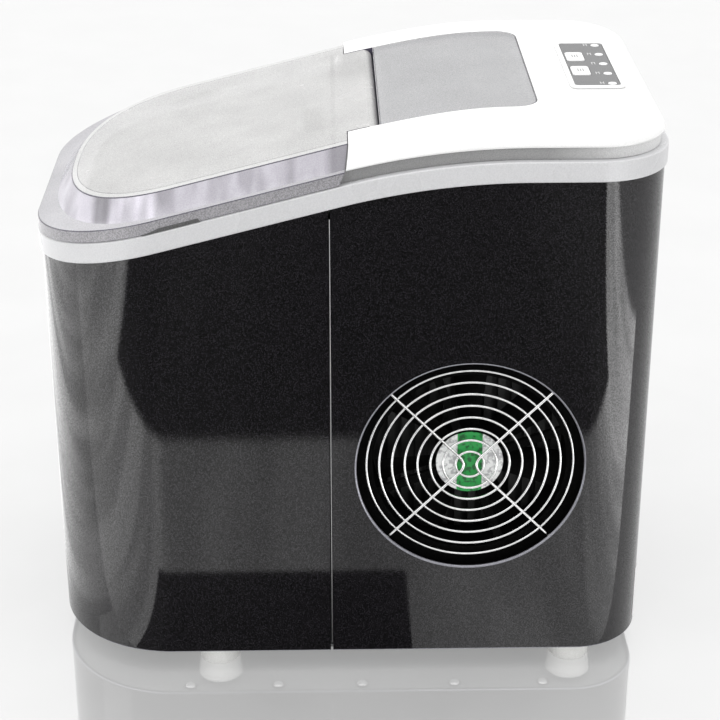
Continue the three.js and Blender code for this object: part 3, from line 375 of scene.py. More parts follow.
# painted shade: the stops along Y darken the lid's side wall in bands along its length
LID_WALL = smoke("lid_wall_painted_shade", (0.80, 0.76, 0.86), (0.92, 0.89, 0.97), (0.66, 0.76), streaks=0.34, along=[
    (-170, 0.9), (-147, 0.85), (-143, 0.42), (-137, 0.5), (-134, 1.0), (-110, 1.0), (-107, 0.62),
    (-60, 0.74), (-14, 0.62), (-9, 0.36), (12, 0.32)])
LID_TOP = smoke("lid_top", (0.58, 0.575, 0.57), (0.78, 0.775, 0.765), (0.62, 0.72), (0.2, 0.28))
# painted shade: a thin dark line just inside the lid top's edge
LID_LINE_SHADE = smoke("lid_line_painted_shade", (0.22, 0.22, 0.23), (0.30, 0.30, 0.31), (0.40, 0.50))
# painted highlight: a light strip along the lid top's edge
LID_CREST_HIGHLIGHT = smoke("lid_crest_painted_highlight", (0.74, 0.74, 0.73), (0.88, 0.88, 0.87), (0.62, 0.70), (0.15, 0.2))
LID_RIM = smoke("lid_rim", (0.24, 0.235, 0.25), (0.40, 0.39, 0.41), (0.80, 0.86), (0.2, 0.3))
LID_INSIDE = smoke("lid_inside", (0.70, 0.70, 0.72), (0.80, 0.80, 0.82), (0.16, 0.22))
PANE = smoke("window_smoke", (0.44, 0.44, 0.45), (0.60, 0.60, 0.61), (0.56, 0.62), (0.1, 0.16))


# ------------ outlines and heights
Plan = namedtuple("Plan", "half front rear front_radius rear_radius")
CASE = Plan(HALF, FRONT, REAR, FRONT_RADIUS, REAR_RADIUS)


def inset(plan, by):
    return Plan(plan.half - by, plan.front + by, plan.rear - by,
                max(plan.front_radius - by, 0.1), max(plan.rear_radius - by, 0.1))


RIM = inset(CASE, -RIM_PROUD)


def half_outline(plan, steps=24, pitch=4.0):
    """The +X half of a rounded outline, from the front to the rear."""
    def quarter(x, y, radius, start):
        angles = [math.radians(start + 90 * i / steps) for i in range(steps + 1)]
        return [(x + radius * math.cos(a), y + radius * math.sin(a)) for a in angles]

    side_front = plan.front + plan.front_radius
    side_rear = plan.rear - plan.rear_radius
    count = max(2, round((side_rear - side_front) / pitch))
    side = [(plan.half, side_front + (side_rear - side_front) * i / count) for i in range(1, count)]
    return [
        *quarter(plan.half - plan.front_radius, side_front, plan.front_radius, -90),
        *side,
        *quarter(plan.half - plan.rear_radius, side_rear, plan.rear_radius, 0),
    ]


def bubble_outline(by, rear, steps=40, sides=32):
    """The lid's bubble: a rounded nose, then straight sides."""
    half, depth = BUBBLE_HALF + by, NOSE_DEPTH + by / 2
    nose = []
    for i in range(steps):
        angle = (i + 0.5) / steps * math.pi / 2
        nose.append((half * math.sin(angle) ** (2 / NOSE_POWER),
                     NOSE_Y - depth * math.cos(angle) ** (2 / NOSE_POWER)))
    return nose + [(half, NOSE_Y + (rear - NOSE_Y) * i / sides) for i in range(sides + 1)]


def rim_z(y):
    """The rim's lower edge: level at the rear, an arc, then a slope down to the front."""
    if y >= RIM_CURVE_REAR:
        return RIM_REAR
    arc = RIM_CURVE_RADIUS * math.sin(math.atan(RIM_SLOPE))
    along = RIM_CURVE_REAR - y
    reach = min(along, arc)
    drop = RIM_CURVE_RADIUS - math.sqrt(RIM_CURVE_RADIUS ** 2 - reach ** 2)
    return RIM_REAR - drop - RIM_SLOPE * max(0, along - arc)


def top_rise(y):
    t = (y - HINGE_Y) / (RIM_CURVE_REAR - COVER_ROLL - HINGE_Y)
    t = min(1, max(0, t))
    return LID_TOP_RISE + (COVER_TOP_RISE - LID_TOP_RISE) * t * t * (3 - 2 * t)


def above(rise):
    return lambda y: rim_z(y) + rise


def below_top(depth):
    return lambda y: rim_z(y) + top_rise(y) - depth


def level(z):
    return lambda y: z


def ring(outline, height):
    right = [(x, y, height(y)) for x, y in outline]
    left = [(-x, y, height(y)) for x, y in reversed(outline)]
    return right + left


# ------------ solids
COINCIDENT = 1e-7  # metres


def new_object(points, faces, materials, indices=None):
    mesh = bpy.data.meshes.new("solid")
    mesh.from_pydata([Vector(p) * MM for p in points], [], faces)
    for material in materials:
        mesh.materials.append(material)
    for polygon, index in zip(mesh.polygons, indices or []):
        polygon.material_index = index
    made = bpy.data.objects.new("solid", mesh)
    bpy.context.scene.collection.objects.link(made)
    work = bmesh.new()
    work.from_mesh(mesh)
    bmesh.ops.remove_doubles(work, verts=work.verts, dist=COINCIDENT)
    bmesh.ops.dissolve_degenerate(work, edges=work.edges, dist=COINCIDENT)
    bmesh.ops.recalc_face_normals(work, faces=work.faces)
    work.to_mesh(mesh)
    work.free()
    return made


def loft(rings, materials=(WHITE,), bands=None, cap=0, foot=0):
    """A closed solid through rings with equal counts, the lowest first, with strips over both ends."""
    count = len(rings[0])
    points = [p for one in rings for p in one]
    faces, indices = [], []
    for step in range(len(rings) - 1):
        for i in range(count):
            a, b = step * count + i, step * count + (i + 1) % count
            faces.append((a, b, b + count, a + count))
            indices.append(bands[step] if bands else 0)
    top = (len(rings) - 1) * count
    for i in range(count // 2 - 1):
        left = count - 1 - i
        faces.append((left, left - 1, i + 1, i))
        indices.append(foot)
        faces.append((top + i, top + i + 1, top + left - 1, top + left))
        indices.append(cap)
    return new_object(points, faces, materials, indices)


def slab(outline, low, high, materials=(WHITE,), index=0):
    return loft([ring(outline, low), ring(outline, high)], materials, [index], index, index)


def rolled(by, edge, radius, steps, way):
    """Levels that round an edge, from the side to the flat: pairs of inset and height."""
    levels = []
    for i in range(steps + 1):
        angle = math.radians(90 * i / steps)
        shift = way * radius * (1 - math.sin(angle))
        levels.append((by + radius * (1 - math.cos(angle)), lambda y, shift=shift: edge(y) + shift))
    return levels


def rolled_top(by, top, radius, steps=4):
    return rolled(by, top, radius, steps, -1)


def rolled_foot(by, foot, radius, steps=3):
    return rolled(by, foot, radius, steps, 1)[::-1]


def stack(plan, levels, materials=(WHITE,), bands=None, steps=24, cap=0, foot=0):
    rings = [ring(half_outline(inset(plan, by), steps), height) for by, height in levels]
    return loft(rings, materials, bands, cap, foot)


def box(x, y, z, materials=(WHITE,), index=0):
    points = [(a, b, c) for a in x for b in y for c in z]
    faces = [(0, 1, 3, 2), (4, 6, 7, 5), (0, 4, 5, 1), (2, 3, 7, 6), (0, 2, 6, 4), (1, 5, 7, 3)]
    return new_object(points, faces, materials, [index] * 6)


def slab_along_x(outline, x, materials=(WHITE,), index=0):
    count = len(outline)
    points = [(side, y, z) for side in x for y, z in outline]
    faces = [(i, (i + 1) % count, count + (i + 1) % count, count + i) for i in range(count)]
    faces += [tuple(reversed(range(count))), tuple(range(count, 2 * count))]
    return new_object(points, faces, materials, [index] * len(faces))


TURN = {
    "x": Matrix(((0, 0, 1), (1, 0, 0), (0, 1, 0))),
    "y": Matrix(((0, 1, 0), (0, 0, 1), (1, 0, 0))),
    "z": Matrix.Identity(3),
}


def lathe(profile, at, axis="z", sides=64, materials=(WHITE,), bands=None):
    """Turns a profile of (radius, height) pairs round an axis through a point."""
    points, faces, indices = [], [], []
    for radius, height in profile:
        for i in range(sides):
            angle = 2 * math.pi * i / sides
            point = Vector((radius * math.cos(angle), radius * math.sin(angle), height))
            points.append(TURN[axis] @ point + Vector(at))
    for step in range(len(profile) - 1):
        for i in range(sides):
            a, b = step * sides + i, step * sides + (i + 1) % sides
            faces.append((a, b, b + sides, a + sides))
            indices.append(bands[step] if bands else 0)
    return new_object(points, faces, materials, indices)


def rod(radius, length):
    return [(0, 0), (radius, 0), (radius, length), (0, length)]


def sweep(points, radius, closed=False, sides=12, materials=(CHROME,)):
    """A round wire through the points, with flat ends when it is open."""
    path = [Vector(p) for p in points]
    count = len(path)
    rings = []
    side = None
    for i, here in enumerate(path):
        before = path[i - 1] if closed or i else here
        after = path[(i + 1) % count] if closed or i + 1 < count else here
        along = (after - before).normalized()
        if side is None:
            side = along.orthogonal().normalized()
        side = (side - along * side.dot(along)).normalized()
        other = along.cross(side)
        angles = [2 * math.pi * k / sides for k in range(sides)]
        rings.append([here + radius * (side * math.cos(a) + other * math.sin(a)) for a in angles])
    faces = []
    for i in range(count if closed else count - 1):
        j = (i + 1) % count
        for k in range(sides):
            n = (k + 1) % sides
            faces.append((i * sides + k, i * sides + n, j * sides + n, j * sides + k))
    if not closed:
        faces.append(tuple(reversed(range(sides))))
        faces.append(tuple(range((count - 1) * sides, count * sides)))
    return new_object([p for one in rings for p in one], faces, materials)


def remove(*objects):
    for old in objects:
        mesh = old.data
        bpy.data.objects.remove(old)
        bpy.data.meshes.remove(mesh)


def apply_modifiers(target):
    graph = bpy.context.evaluated_depsgraph_get()
    old = target.data
    target.data = bpy.data.meshes.new_from_object(target.evaluated_get(graph))
    target.modifiers.clear()
    bpy.data.meshes.remove(old)


def boolean(operation, target, *tools):
    for tool in tools:
        modifier = target.modifiers.new("boolean", "BOOLEAN")
        modifier.operation = operation
        modifier.object = tool
        modifier.solver = "EXACT"
        bpy.context.view_layer.update()
        apply_modifiers(target)
        remove(tool)
    return target


def cut(target, *tools):
    return boolean("DIFFERENCE", target, *tools)


def join(target, *tools):
    return boolean("UNION", target, *tools)


def gather(*objects):
    """One object from several closed solids that keep their own skins."""
    first, *rest = objects
    work = bmesh.new()
    for one in objects:
        work.from_mesh(one.data)
    work.to_mesh(first.data)
    work.free()
    remove(*rest)
    return first


def behind(y, **kind):
    return box((-FAR, FAR), (y, FAR), (-FAR, 2 * FAR), **kind)


def in_front_of(y, **kind):
    return box((-FAR, FAR), (-FAR, y), (-FAR, 2 * FAR), **kind)


def split_face(shift):
    """The joint face between lid and cheeks, as Y and Z from the rim to above the top."""
    foot, crease, top = SPLIT_Y
    return [
        (foot + shift, rim_z(foot) + RIM_RISE - 4),
        (foot + shift, rim_z(foot) + RIM_RISE),
        (crease + shift, rim_z(crease) + CREASE_RISE),
        (top + shift, rim_z(top) + LID_TOP_RISE + 4),
    ]


def ahead_of_split(wall):
    """What is on the lid's side of the joint face, or of the back of a wall behind it."""
    face = split_face(wall + 1 if wall else 0)
    return [(-FAR, 0), (SPLIT_Y[0] + wall, 0), *face, (-FAR, 2 * FAR)]


WELD = 2e-6  # metres
NORMAL_WEIGHT = 80  # large faces rule the shading, so their reflections stay straight


def place(made, name, nodes=(), slot=None, body="case", sharp=32):
    """Names a piece, smooths it up to the sharp angle and puts it on its body in place of its nodes."""
    made.name = name
    made.data.name = name
    work = bmesh.new()
    work.from_mesh(made.data)
    bmesh.ops.remove_doubles(work, verts=work.verts, dist=WELD)
    bmesh.ops.dissolve_degenerate(work, edges=work.edges, dist=WELD / 2)
    loose = [v for v in work.verts if not v.link_faces]
    bmesh.ops.delete(work, geom=loose, context="VERTS")
    for face in work.faces:
        face.smooth = True
    for edge in work.edges:
        edge.smooth = len(edge.link_faces) == 2 and edge.calc_face_angle(0) < math.radians(sharp)
    work.to_mesh(made.data)
    work.free()
    weighted = made.modifiers.new("even_shading", "WEIGHTED_NORMAL")
    weighted.keep_sharp = True
    weighted.weight = NORMAL_WEIGHT
    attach(made, body)
    if nodes:
        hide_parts(*nodes)
    return made


# ------------ camera, floor and light
LENS, SENSOR = 95.85, 36
CAMERA_AT = (1.1191, -0.0145, 0.6835)  # metres
CAMERA_AIM = (-0.9048, 0.0188, -0.4255)
FLOOR_REACH = 3000
FLOOR_GLOW = 0.36
STUDIO_GLOW = 5.0
WORLD_LIGHT = 1.1


def make_camera():
    data = bpy.data.cameras.new("camera")
    data.lens, data.sensor_width = LENS, SENSOR
    camera = bpy.data.objects.new("camera", data)
    bpy.context.scene.collection.objects.link(camera)
    camera.location = CAMERA_AT
    camera.rotation_euler = Vector(CAMERA_AIM).to_track_quat("-Z", "Y").to_euler()
    bpy.context.scene.camera = camera


def flat_sheet(name, x, y, z, material):
    """A one-sided sheet on the stage that faces up."""
    corners = [(x[0], y[0], z), (x[1], y[0], z), (x[1], y[1], z), (x[0], y[1], z)]
    made = new_object(corners, [(0, 1, 2, 3)], (material,))
    if made.data.polygons[0].normal.z < 0:
        made.data.flip_normals()
    made.name = name
    return made


def reflection_card(*sheet):
    """A sheet that only reflections see."""
    card = flat_sheet(*sheet)
    for ray in ("camera", "diffuse", "shadow", "transmission"):
        setattr(card, f"visible_{ray}", False)


def glowing_floor():
    """A light table: it glows softly and mirrors what stands on it."""
    look = Look("floor_gloss")
    broad = look.noise(12, detail=2.0)
    look.feed(Base_Color=look.colour(broad, 0.36, 0.39), Roughness=look.value(broad, 0.5, 0.6))
    look.fix(Coat_Weight=1.0, Coat_IOR=4.0, Coat_Roughness=0.012,
             Emission_Color=rgba(1), Emission_Strength=FLOOR_GLOW)
    return look.made


def studio_glow(name, stops, streaks):
    """Light for a card: brightness along Y, with soft streaks across the length, clear from below."""
    look = Look(name)
    facing = look.node("ShaderNodeNewGeometry")
    bars = look.noise(14, detail=2.0, stretch=(0.12, 1, 1))
    shade = look.colour(bars, 1 - streaks, 1, (0.42, 0.56))
    along = look.along_y([(y, light / STUDIO_GLOW) for y, light in stops])
    look.feed(Alpha=look.value(facing.outputs["Backfacing"], 1, 0, (0, 1)),
              Emission_Color=look.blend(along, shade))
    look.fix(Base_Color=rgba(0), Roughness=1.0, Emission_Strength=STUDIO_GLOW)
    return look.made


def make_stage():
    """The floor, two glowing cards just above it, and two dark ones above those."""
    everywhere = (-FLOOR_REACH, FLOOR_REACH)
    flat_sheet("floor", everywhere, everywhere, 0, glowing_floor())
    glow = studio_glow("floor_glow", [(-900, 2.6), (-330, 2.8), (-210, 2.2), (-60, 1.1), (40, 1.05),
                                      (130, 1.5), (230, 1.9), (330, 3.2), (420, 5.0)], 0.3)
    left = studio_glow("left_glow", [(-1500, 1.6), (-420, 2.2), (-260, 1.7), (-190, 1.3)], 0.4)
    flag = studio_glow("black_flag", [(-600, 0.05), (-200, 0.01), (-130, 0.09), (-60, 0.02), (0, 0.0),
                                      (180, 0.02), (260, 0.16), (440, 0.05)], 0.5)
    reflection_card("floor_glow", (133, 1600), (-900, 700), 0.4, glow)
    reflection_card("left_glow", (-900, 133), (-1500, -205), 0.4, left)
    reflection_card("far_flag", (430, 1500), (-470, 425), 1.5, flag)
    reflection_card("near_flag", (134, 238), (-150, 40), 1.0, flag)


def area_light(name, at, aim, size, power):
    data = bpy.data.lights.new(name, "AREA")
    data.shape = "RECTANGLE"
    data.size, data.size_y = size
    data.energy = power
    light = bpy.data.objects.new(name, data)
    bpy.context.scene.collection.objects.link(light)
    light.location = at
    light.rotation_euler = (Vector(aim) - Vector(at)).to_track_quat("-Z", "Y").to_euler()


def make_lights():
    world = bpy.data.worlds.new("studio")
    bpy.context.scene.world = world
    world.use_nodes = True
    background = world.node_tree.nodes["Background"]
    background.inputs["Color"].default_value = rgba(1)
    background.inputs["Strength"].default_value = WORLD_LIGHT
    area_light("top_soft", (0.1, 0.1, 1.9), (0, 0, 0.2), (1.6, 1.6), 9)
    area_light("lid_side_soft", (0.5, -1.3, 1.2), (0, 0, 0.2), (0.9, 0.9), 3)
    bpy.context.scene.view_settings.view_transform = "Standard"


# ------------ case
FINE_STEPS = 40
SHELL_KINDS = (PAINT, PAINT_EDGE_HIGHLIGHT)
FOOT_ROLL = 0.8  # the rolled lower edge of the shells
FOOT_BAND = 1.4  # a level just above it, so that the tall face shades straight
LIP_RADIUS = 1.2  # the rolled edge of the vent hole


def shell_ring():
    foot = rolled_foot(0, level(SHELL_FOOT), FOOT_ROLL)
    levels = [*foot, (0, level(SHELL_FOOT + FOOT_BAND)), (0, above(-GAP))]
    outer = stack(CASE, levels, SHELL_KINDS, [1] * len(foot[1:]) + [0, 0], FINE_STEPS)
    bore_levels = [(0, level(SHELL_FOOT - 5)), (0, above(5))]
    return cut(outer, stack(inset(CASE, SHELL_WALL), bore_levels, SHELL_KINDS, steps=FINE_STEPS))


def front_shell():
    drain = lathe(rod(KNOB_RADIUS + RUNNING_GAP, 30), (0, FRONT - 10, DRAIN_Z), "y", 64, SHELL_KINDS)
    shell = cut(shell_ring(), behind(SEAM_Y - SEAM_GAP / 2, materials=SHELL_KINDS, index=1), drain)
    place(shell, "front_shell_skin", ["front_shell"], "metallic_paint")


def vent_cutter():
    flare = []
    for i in range(7):
        angle = math.radians(15 * i)
        flare.append((VENT_RADIUS + LIP_RADIUS * (1 - math.cos(angle)),
                      HALF - LIP_RADIUS * (1 - math.sin(angle))))
    reach = VENT_RADIUS + LIP_RADIUS
    profile = [(0, HALF - 20), (VENT_RADIUS, HALF - 20), *flare, (reach, HALF + 10), (0, HALF + 10)]
    return lathe(profile, (0, VENT_Y, VENT_Z), "x", 144, SHELL_KINDS, [0, 0] + [1] * (len(profile) - 3))


SLOTS, SLOT_PITCH, SLOT_LENGTH, SLOT_HEIGHT = 9, 11, 76, 3.2


def slot_cutter(i):
    """One intake slot with round ends, through the -X side."""
    z = VENT_Z + (i - (SLOTS - 1) / 2) * SLOT_PITCH
    radius = SLOT_HEIGHT / 2
    outline = []
    for side, start in ((1, -90), (-1, 90)):
        y = VENT_Y + side * (SLOT_LENGTH / 2 - radius)
        for step in range(9):
            angle = math.radians(start + 22.5 * step)
            outline.append((y + radius * math.cos(angle), z + radius * math.sin(angle)))
    return slab_along_x(outline, (-HALF - 10, -HALF + 10), SHELL_KINDS)


def rear_shell():
    gland = lathe(rod(GLAND_RADIUS + GAP, 30), (GLAND.x, REAR - 20, GLAND.z), "y", 48, SHELL_KINDS)
    slots = [slot_cutter(i) for i in range(SLOTS)]
    front = in_front_of(SEAM_Y + SEAM_GAP / 2, materials=SHELL_KINDS, index=1)
    shell = cut(shell_ring(), front, vent_cutter(), gland, *slots)
    place(shell, "rear_shell_skin", ["rear_shell"], "metallic_paint")


def liner_plan(by):
    return Plan(LINER_HALF + by, BIN_FRONT - by, CHAMBER_REAR + by, BIN_RADIUS + by, 4 + by)


def top_rim():
    levels = [*rolled_foot(0, above(0), 1.0), *rolled_top(0, above(RIM_RISE), 0.9)]
    outer = stack(RIM, levels, (RIM_WHITE_SHADED,), steps=FINE_STEPS)
    room = stack(liner_plan(LINER_WALL + 1), [(0, above(-4)), (0, above(RIM_RISE + 4))], (RIM_WHITE_SHADED,))
    place(cut(outer, room), "top_rim_band", ["top_rim"], "white_gloss")


ROLL_STEPS = 18


def cover_levels(depth):
    """Insets and heights of the housing from its neck over the crease to the end of the roll."""
    levels = []
    for i in range(ROLL_STEPS + 1):
        angle = math.radians(90 * i / ROLL_STEPS)
        by = COVER_INSET + depth + COVER_ROLL * (1 - math.cos(angle))
        share = math.sin(angle)
        levels.append((by, lambda y, share=share: rim_z(y) + CREASE_RISE
                       + (top_rise(y) - depth - CREASE_RISE) * share))
    return levels


def pane_plan(by):
    return Plan(TONGUE_HALF - by, WINDOW_FRONT + by, WINDOW_REAR - by, 0.5, WINDOW_RADIUS - by)


def panel_cutters(clearance, materials):
    z = (PANEL_Z - 20, PANEL_Z + 20)
    half_x, half_y = BUTTON_SIZE[0] / 2 + clearance, BUTTON_SIZE[1] / 2 + clearance
    holes = []
    for x in BUTTON_X:
        holes.append(rounded_block(half_x, half_y, 2 + clearance, z, (x, BUTTON_Y), materials))
    for i in LED_NUMBERS:
        at = (i * LED_PITCH, LED_Y, z[0])
        holes.append(lathe(rod(LED_RADIUS + clearance, 40), at, "z", 32, materials))
    return holes


def rounded_block(half_x, half_y, radius, z, at, materials=(WHITE,), roll=0.0):
    """A plate with round corners; roll rounds its upper edge."""
    plan = Plan(half_x, at[1] - half_y, at[1] + half_y, radius, radius)
    top = rolled_top(0, level(z[1]), roll) if roll else [(0, level(z[1]))]
    made = stack(plan, [(0, level(z[0])), *top], materials, steps=8)
    made.data.transform(Matrix.Translation((at[0] * MM, 0, 0)))
    return made


def rear_cover():
    kinds = (WHITE, NECK_SHADE, JOINT_SHADE)
    # the neck bands take painted shade, for the recess under the roll
    neck = [(NECK_INSET, above(RIM_RISE + GAP)), (NECK_INSET, above(CREASE_RISE))]
    lip = [(COVER_INSET + 0.5, above(CREASE_RISE))]
    roll = cover_levels(0)[1:]
    outer = stack(CASE, neck + lip + roll, kinds, [1, 1] + [0] * len(roll), 32)
    hollow_levels = [(NECK_INSET + SKIN, above(RIM_RISE - 3)), (NECK_INSET + SKIN, above(CREASE_RISE))]
    hollow = stack(CASE, hollow_levels + cover_levels(SKIN)[3:], kinds)
    reach = TONGUE_HALF + CHEEK_WALL
    cheeks = box((-reach, reach), (-FAR, WINDOW_FRONT + CHEEK_WALL), (0, FAR), kinds)
    wall = slab_along_x(ahead_of_split(SKIN), (-FAR, FAR), kinds)
    cover = cut(outer, cut(hollow, cheeks, wall))

    ledge_foot, ledge_top = below_top(WINDOW_THICKNESS + 3.5), below_top(SKIN - 0.5)
    seat_foot = below_top(WINDOW_THICKNESS + 0.5)
    ledge = slab(half_outline(pane_plan(-WINDOW_LEDGE), 12), ledge_foot, ledge_top, kinds)
    seat = slab(half_outline(pane_plan(-0.45), 12), seat_foot, above(FAR), kinds)
    below = slab(half_outline(pane_plan(WINDOW_LEDGE), 12), above(-20), above(FAR), kinds)
    tongue_half = TONGUE_HALF + GAP
    # index 2 paints shade onto the slot's faces, for the dark gap beside the lid's tongue
    slot = box((-tongue_half, tongue_half), (-FAR, WINDOW_FRONT), (0, 2 * FAR), kinds, 2)
    front = slab_along_x(ahead_of_split(0), (-FAR, FAR), kinds)
    lip_top = above(RIM_RISE + 2 * GAP + LIP_THICKNESS)
    lip_room = stack(liner_plan(LINER_LIP + GAP), [(0, above(-20)), (0, lip_top)], kinds)
    pin_at = (1 - reach, HINGE_Y, HINGE_Z)
    pin = lathe(rod(HINGE_PIN_RADIUS + GAP, 2 * (reach - 1)), pin_at, "x", 32, kinds)
    cover = cut(join(cover, ledge), seat, below, slot, front, lip_room, pin, *panel_cutters(GAP, kinds))
    place(cover, "rear_cover_shell", ["rear_top_cover"], "white_gloss", sharp=28)


def window_pane():
    levels = [(0.15, below_top(WINDOW_THICKNESS + 0.2)), *rolled_top(0.15, below_top(0.25), 0.35, 2)]
    rings = [ring(half_outline(pane_plan(by), 12), height) for by, height in levels]
    # the pane's rolled edge is painted shade
    pane = loft(rings, (PANE, LID_EDGE_SHADE), [1] * (len(rings) - 1))
    place(pane, "window_pane_clear", ["window_pane"], "smoke_clear")


# ------------ lid
LID_KINDS = (LID_SHELF, LID_EDGE_SHADE, LID_WALL, LID_TOP, LID_RIM, LID_INSIDE, LID_CREST_HIGHLIGHT, LID_LINE_SHADE)
SHELF, EDGE_SHADE, WALL, TOP, RIM_BAND, INSIDE, CREST_HIGHLIGHT, LINE_SHADE = range(8)
CREST_WIDTH, LINE_WIDTH = 6, 0.6
TONGUE_SIDE = TONGUE_HALF - 0.7  # the lid's tongue leaves a dark joint beside the cheeks
LID_REAR = HINGE_Y + KNUCKLE_RADIUS + 20
EDGE_WIDTH = 0.5


def bubble(levels, bands, cap, foot):
    """A loft through bubble outlines, each given by how far it stands out and its rise."""
    rings = [ring(bubble_outline(by, LID_REAR), above(rise)) for by, rise in levels]
    return loft(rings, LID_KINDS, bands, cap, foot)


def lid_outer():
    flange_levels = [
        (GAP + EDGE_WIDTH, above(RIM_RISE + GAP)),
        (GAP, above(RIM_RISE + GAP + EDGE_WIDTH)),
        (GAP, above(FLANGE_RISE - EDGE_WIDTH)),
        (GAP + EDGE_WIDTH, above(FLANGE_RISE)),
    ]
    flange = stack(RIM, flange_levels, LID_KINDS, [EDGE_SHADE, RIM_BAND, EDGE_SHADE], FINE_STEPS, SHELF, INSIDE)
    levels = [
        (BUBBLE_FLARE, FLANGE_RISE - 0.5),
        (0.4, LID_TOP_RISE - 0.4),
        (-0.7, LID_TOP_RISE),
        (-CREST_WIDTH, LID_TOP_RISE),
        (-CREST_WIDTH - LINE_WIDTH, LID_TOP_RISE),
    ]
    return join(flange, bubble(levels, [WALL, EDGE_SHADE, CREST_HIGHLIGHT, LINE_SHADE], TOP, INSIDE))


def lid_inner():
    flange_levels = [(GAP + SKIN, above(RIM_RISE + GAP - 5)), (GAP + SKIN, above(FLANGE_RISE - SKIN))]
    flange = stack(RIM, flange_levels, LID_KINDS, [INSIDE], FINE_STEPS, INSIDE, INSIDE)
    levels = [(BUBBLE_FLARE - SKIN, FLANGE_RISE - SKIN - 0.5), (-SKIN, LID_TOP_RISE - SKIN)]
    return join(flange, bubble(levels, [INSIDE], INSIDE, INSIDE))


def lid():
    shell = cut(lid_outer(), lid_inner())
    # the inner wall is all painted shade, a dark line across the lid
    inner_wall = bubble([(BUBBLE_FLARE - 4, RIM_RISE + 3), (-1, LID_TOP_RISE - 1)], [EDGE_SHADE], EDGE_SHADE, EDGE_SHADE)
    cut(inner_wall, in_front_of(LID_WALL_Y, materials=LID_KINDS, index=EDGE_SHADE),
        behind(LID_WALL_Y + SKIN, materials=LID_KINDS, index=EDGE_SHADE))
    knuckle_at = (-TONGUE_SIDE, HINGE_Y, HINGE_Z)
    knuckle = lathe(rod(KNUCKLE_RADIUS, 2 * TONGUE_SIDE), knuckle_at, "x", 48, LID_KINDS, [TOP] * 3)
    body = join(cut(join(shell, inner_wall), behind(HINGE_Y, materials=LID_KINDS, index=EDGE_SHADE)), knuckle)
    foot = SPLIT_Y[0] - RUNNING_GAP
    wedge = [*split_face(-RUNNING_GAP), (FAR, 2 * FAR), (FAR, 0), (foot, 0)]
    sides = ((-FAR, -TONGUE_SIDE), (TONGUE_SIDE, FAR))
    cheeks = [slab_along_x(wedge, x, LID_KINDS, EDGE_SHADE) for x in sides]
    pins = [
        lathe(rod(HINGE_PIN_RADIUS + GAP, 9), (x, HINGE_Y, HINGE_Z), "x", 32, LID_KINDS, [SHELF] * 3)
        for x in (-TONGUE_HALF - 1, TONGUE_HALF - 8)
    ]
    place(cut(body, *cheeks, *pins), "lid_clear", ["lid"], "smoke_clear", "lid", 24)


def notch_shadow():
    """Dark grey strips under the lid's side edges that paint the shadow in the hollow of the finger notch.
    """
    front, rear = NOTCH_Y
    corners = [(front, 0.4), (rear, 0.4), (rear - 1.5, 2.5), (front + 10, 2.5)]
    outline = [(y, rim_z(y) + RIM_RISE + rise) for y, rise in corners]
    for name, side in (("left", -1), ("right", 1)):
        x = sorted((side * (HALF + RIM_PROUD - GAP + 0.12), side * (HALF - 1.2)))
        strip = slab_along_x(outline, x, (NOTCH_SHADE,))
        place(strip, f"finger_notch_shade_{name}", slot="black_plastic", body="lid")


# ------------ control panel
def control_panel():
    plan = Plan(BEZEL_HIGH.x, BEZEL_LOW.y, BEZEL_HIGH.y, 5, 5)
    levels = [(0, level(BEZEL_LOW.z)), *rolled_top(0, level(BEZEL_HIGH.z), 1.1, 5)]
    bezel = stack(plan, levels, steps=12)
    half_x, half_y = OVERLAY_HIGH.x, (OVERLAY_HIGH.y - OVERLAY_LOW.y) / 2
    at = (0, PANEL_Y)
    window = rounded_block(half_x + GAP, half_y + GAP, 2.4, (PANEL_Z - 5, PANEL_Z + 9), at)
    place(cut(bezel, window), "control_surround", ["control_bezel"], "white_gloss")
    film_z = (OVERLAY_LOW.z, OVERLAY_HIGH.z)
    overlay = rounded_block(half_x, half_y, 2, film_z, at, (PANEL_GREY,), 0.15)
    cut(overlay, *panel_cutters(GAP, (PANEL_GREY,)))
    place(overlay, "control_overlay_film", ["control_overlay"], "grey_panel")
    for i in LED_NUMBERS:
        indicator_lens(i)
        marks(i)


DOME = 0.6  # height of a lens above its rim


def indicator_lens(i):
    node = f"indicator_lens_{i + 3}"
    low, high = span(node)
    angles = [math.radians(15 * step) for step in range(7)]
    dome = [(LED_RADIUS * math.cos(a), high.z - DOME + DOME * math.sin(a)) for a in angles]
    profile = [(0, low.z), (LED_RADIUS, low.z), *dome]
    lens = lathe(profile, (i * LED_PITCH, LED_Y, 0), "z", 40, (LENS_WHITE,))
    place(lens, f"{node}_dome", [node], "white_gloss")


MARK_HALF, MARK_LINE, MARK_RISE = 2.2, 0.4, 1.4


def marks(i):
    """A generic printed sign in front of an indicator: two lines and a bar between them."""
    x, y, z = i * LED_PITCH - 1.2, LED_Y - 7, OVERLAY_HIGH.z + 0.02
    heights, wide = (z - 0.1, z + 0.05), (x - MARK_HALF, x + MARK_HALF)
    bar = x - MARK_HALF + abs(i)
    foot, head = y + MARK_LINE, y + MARK_LINE + MARK_RISE
    parts = [
        box(wide, (y, foot), heights, (PRINT_GREY,)),
        box(wide, (head, head + MARK_LINE), heights, (PRINT_GREY,)),
        box((bar, bar + 0.6), (foot, head), heights, (PRINT_GREY,)),
    ]
    place(gather(*parts), f"panel_mark_{i + 3}", slot="grey_panel")


KEY_BAR_HALF = (2.6, 0.35)
KEY_BAR_PITCH = 1.5


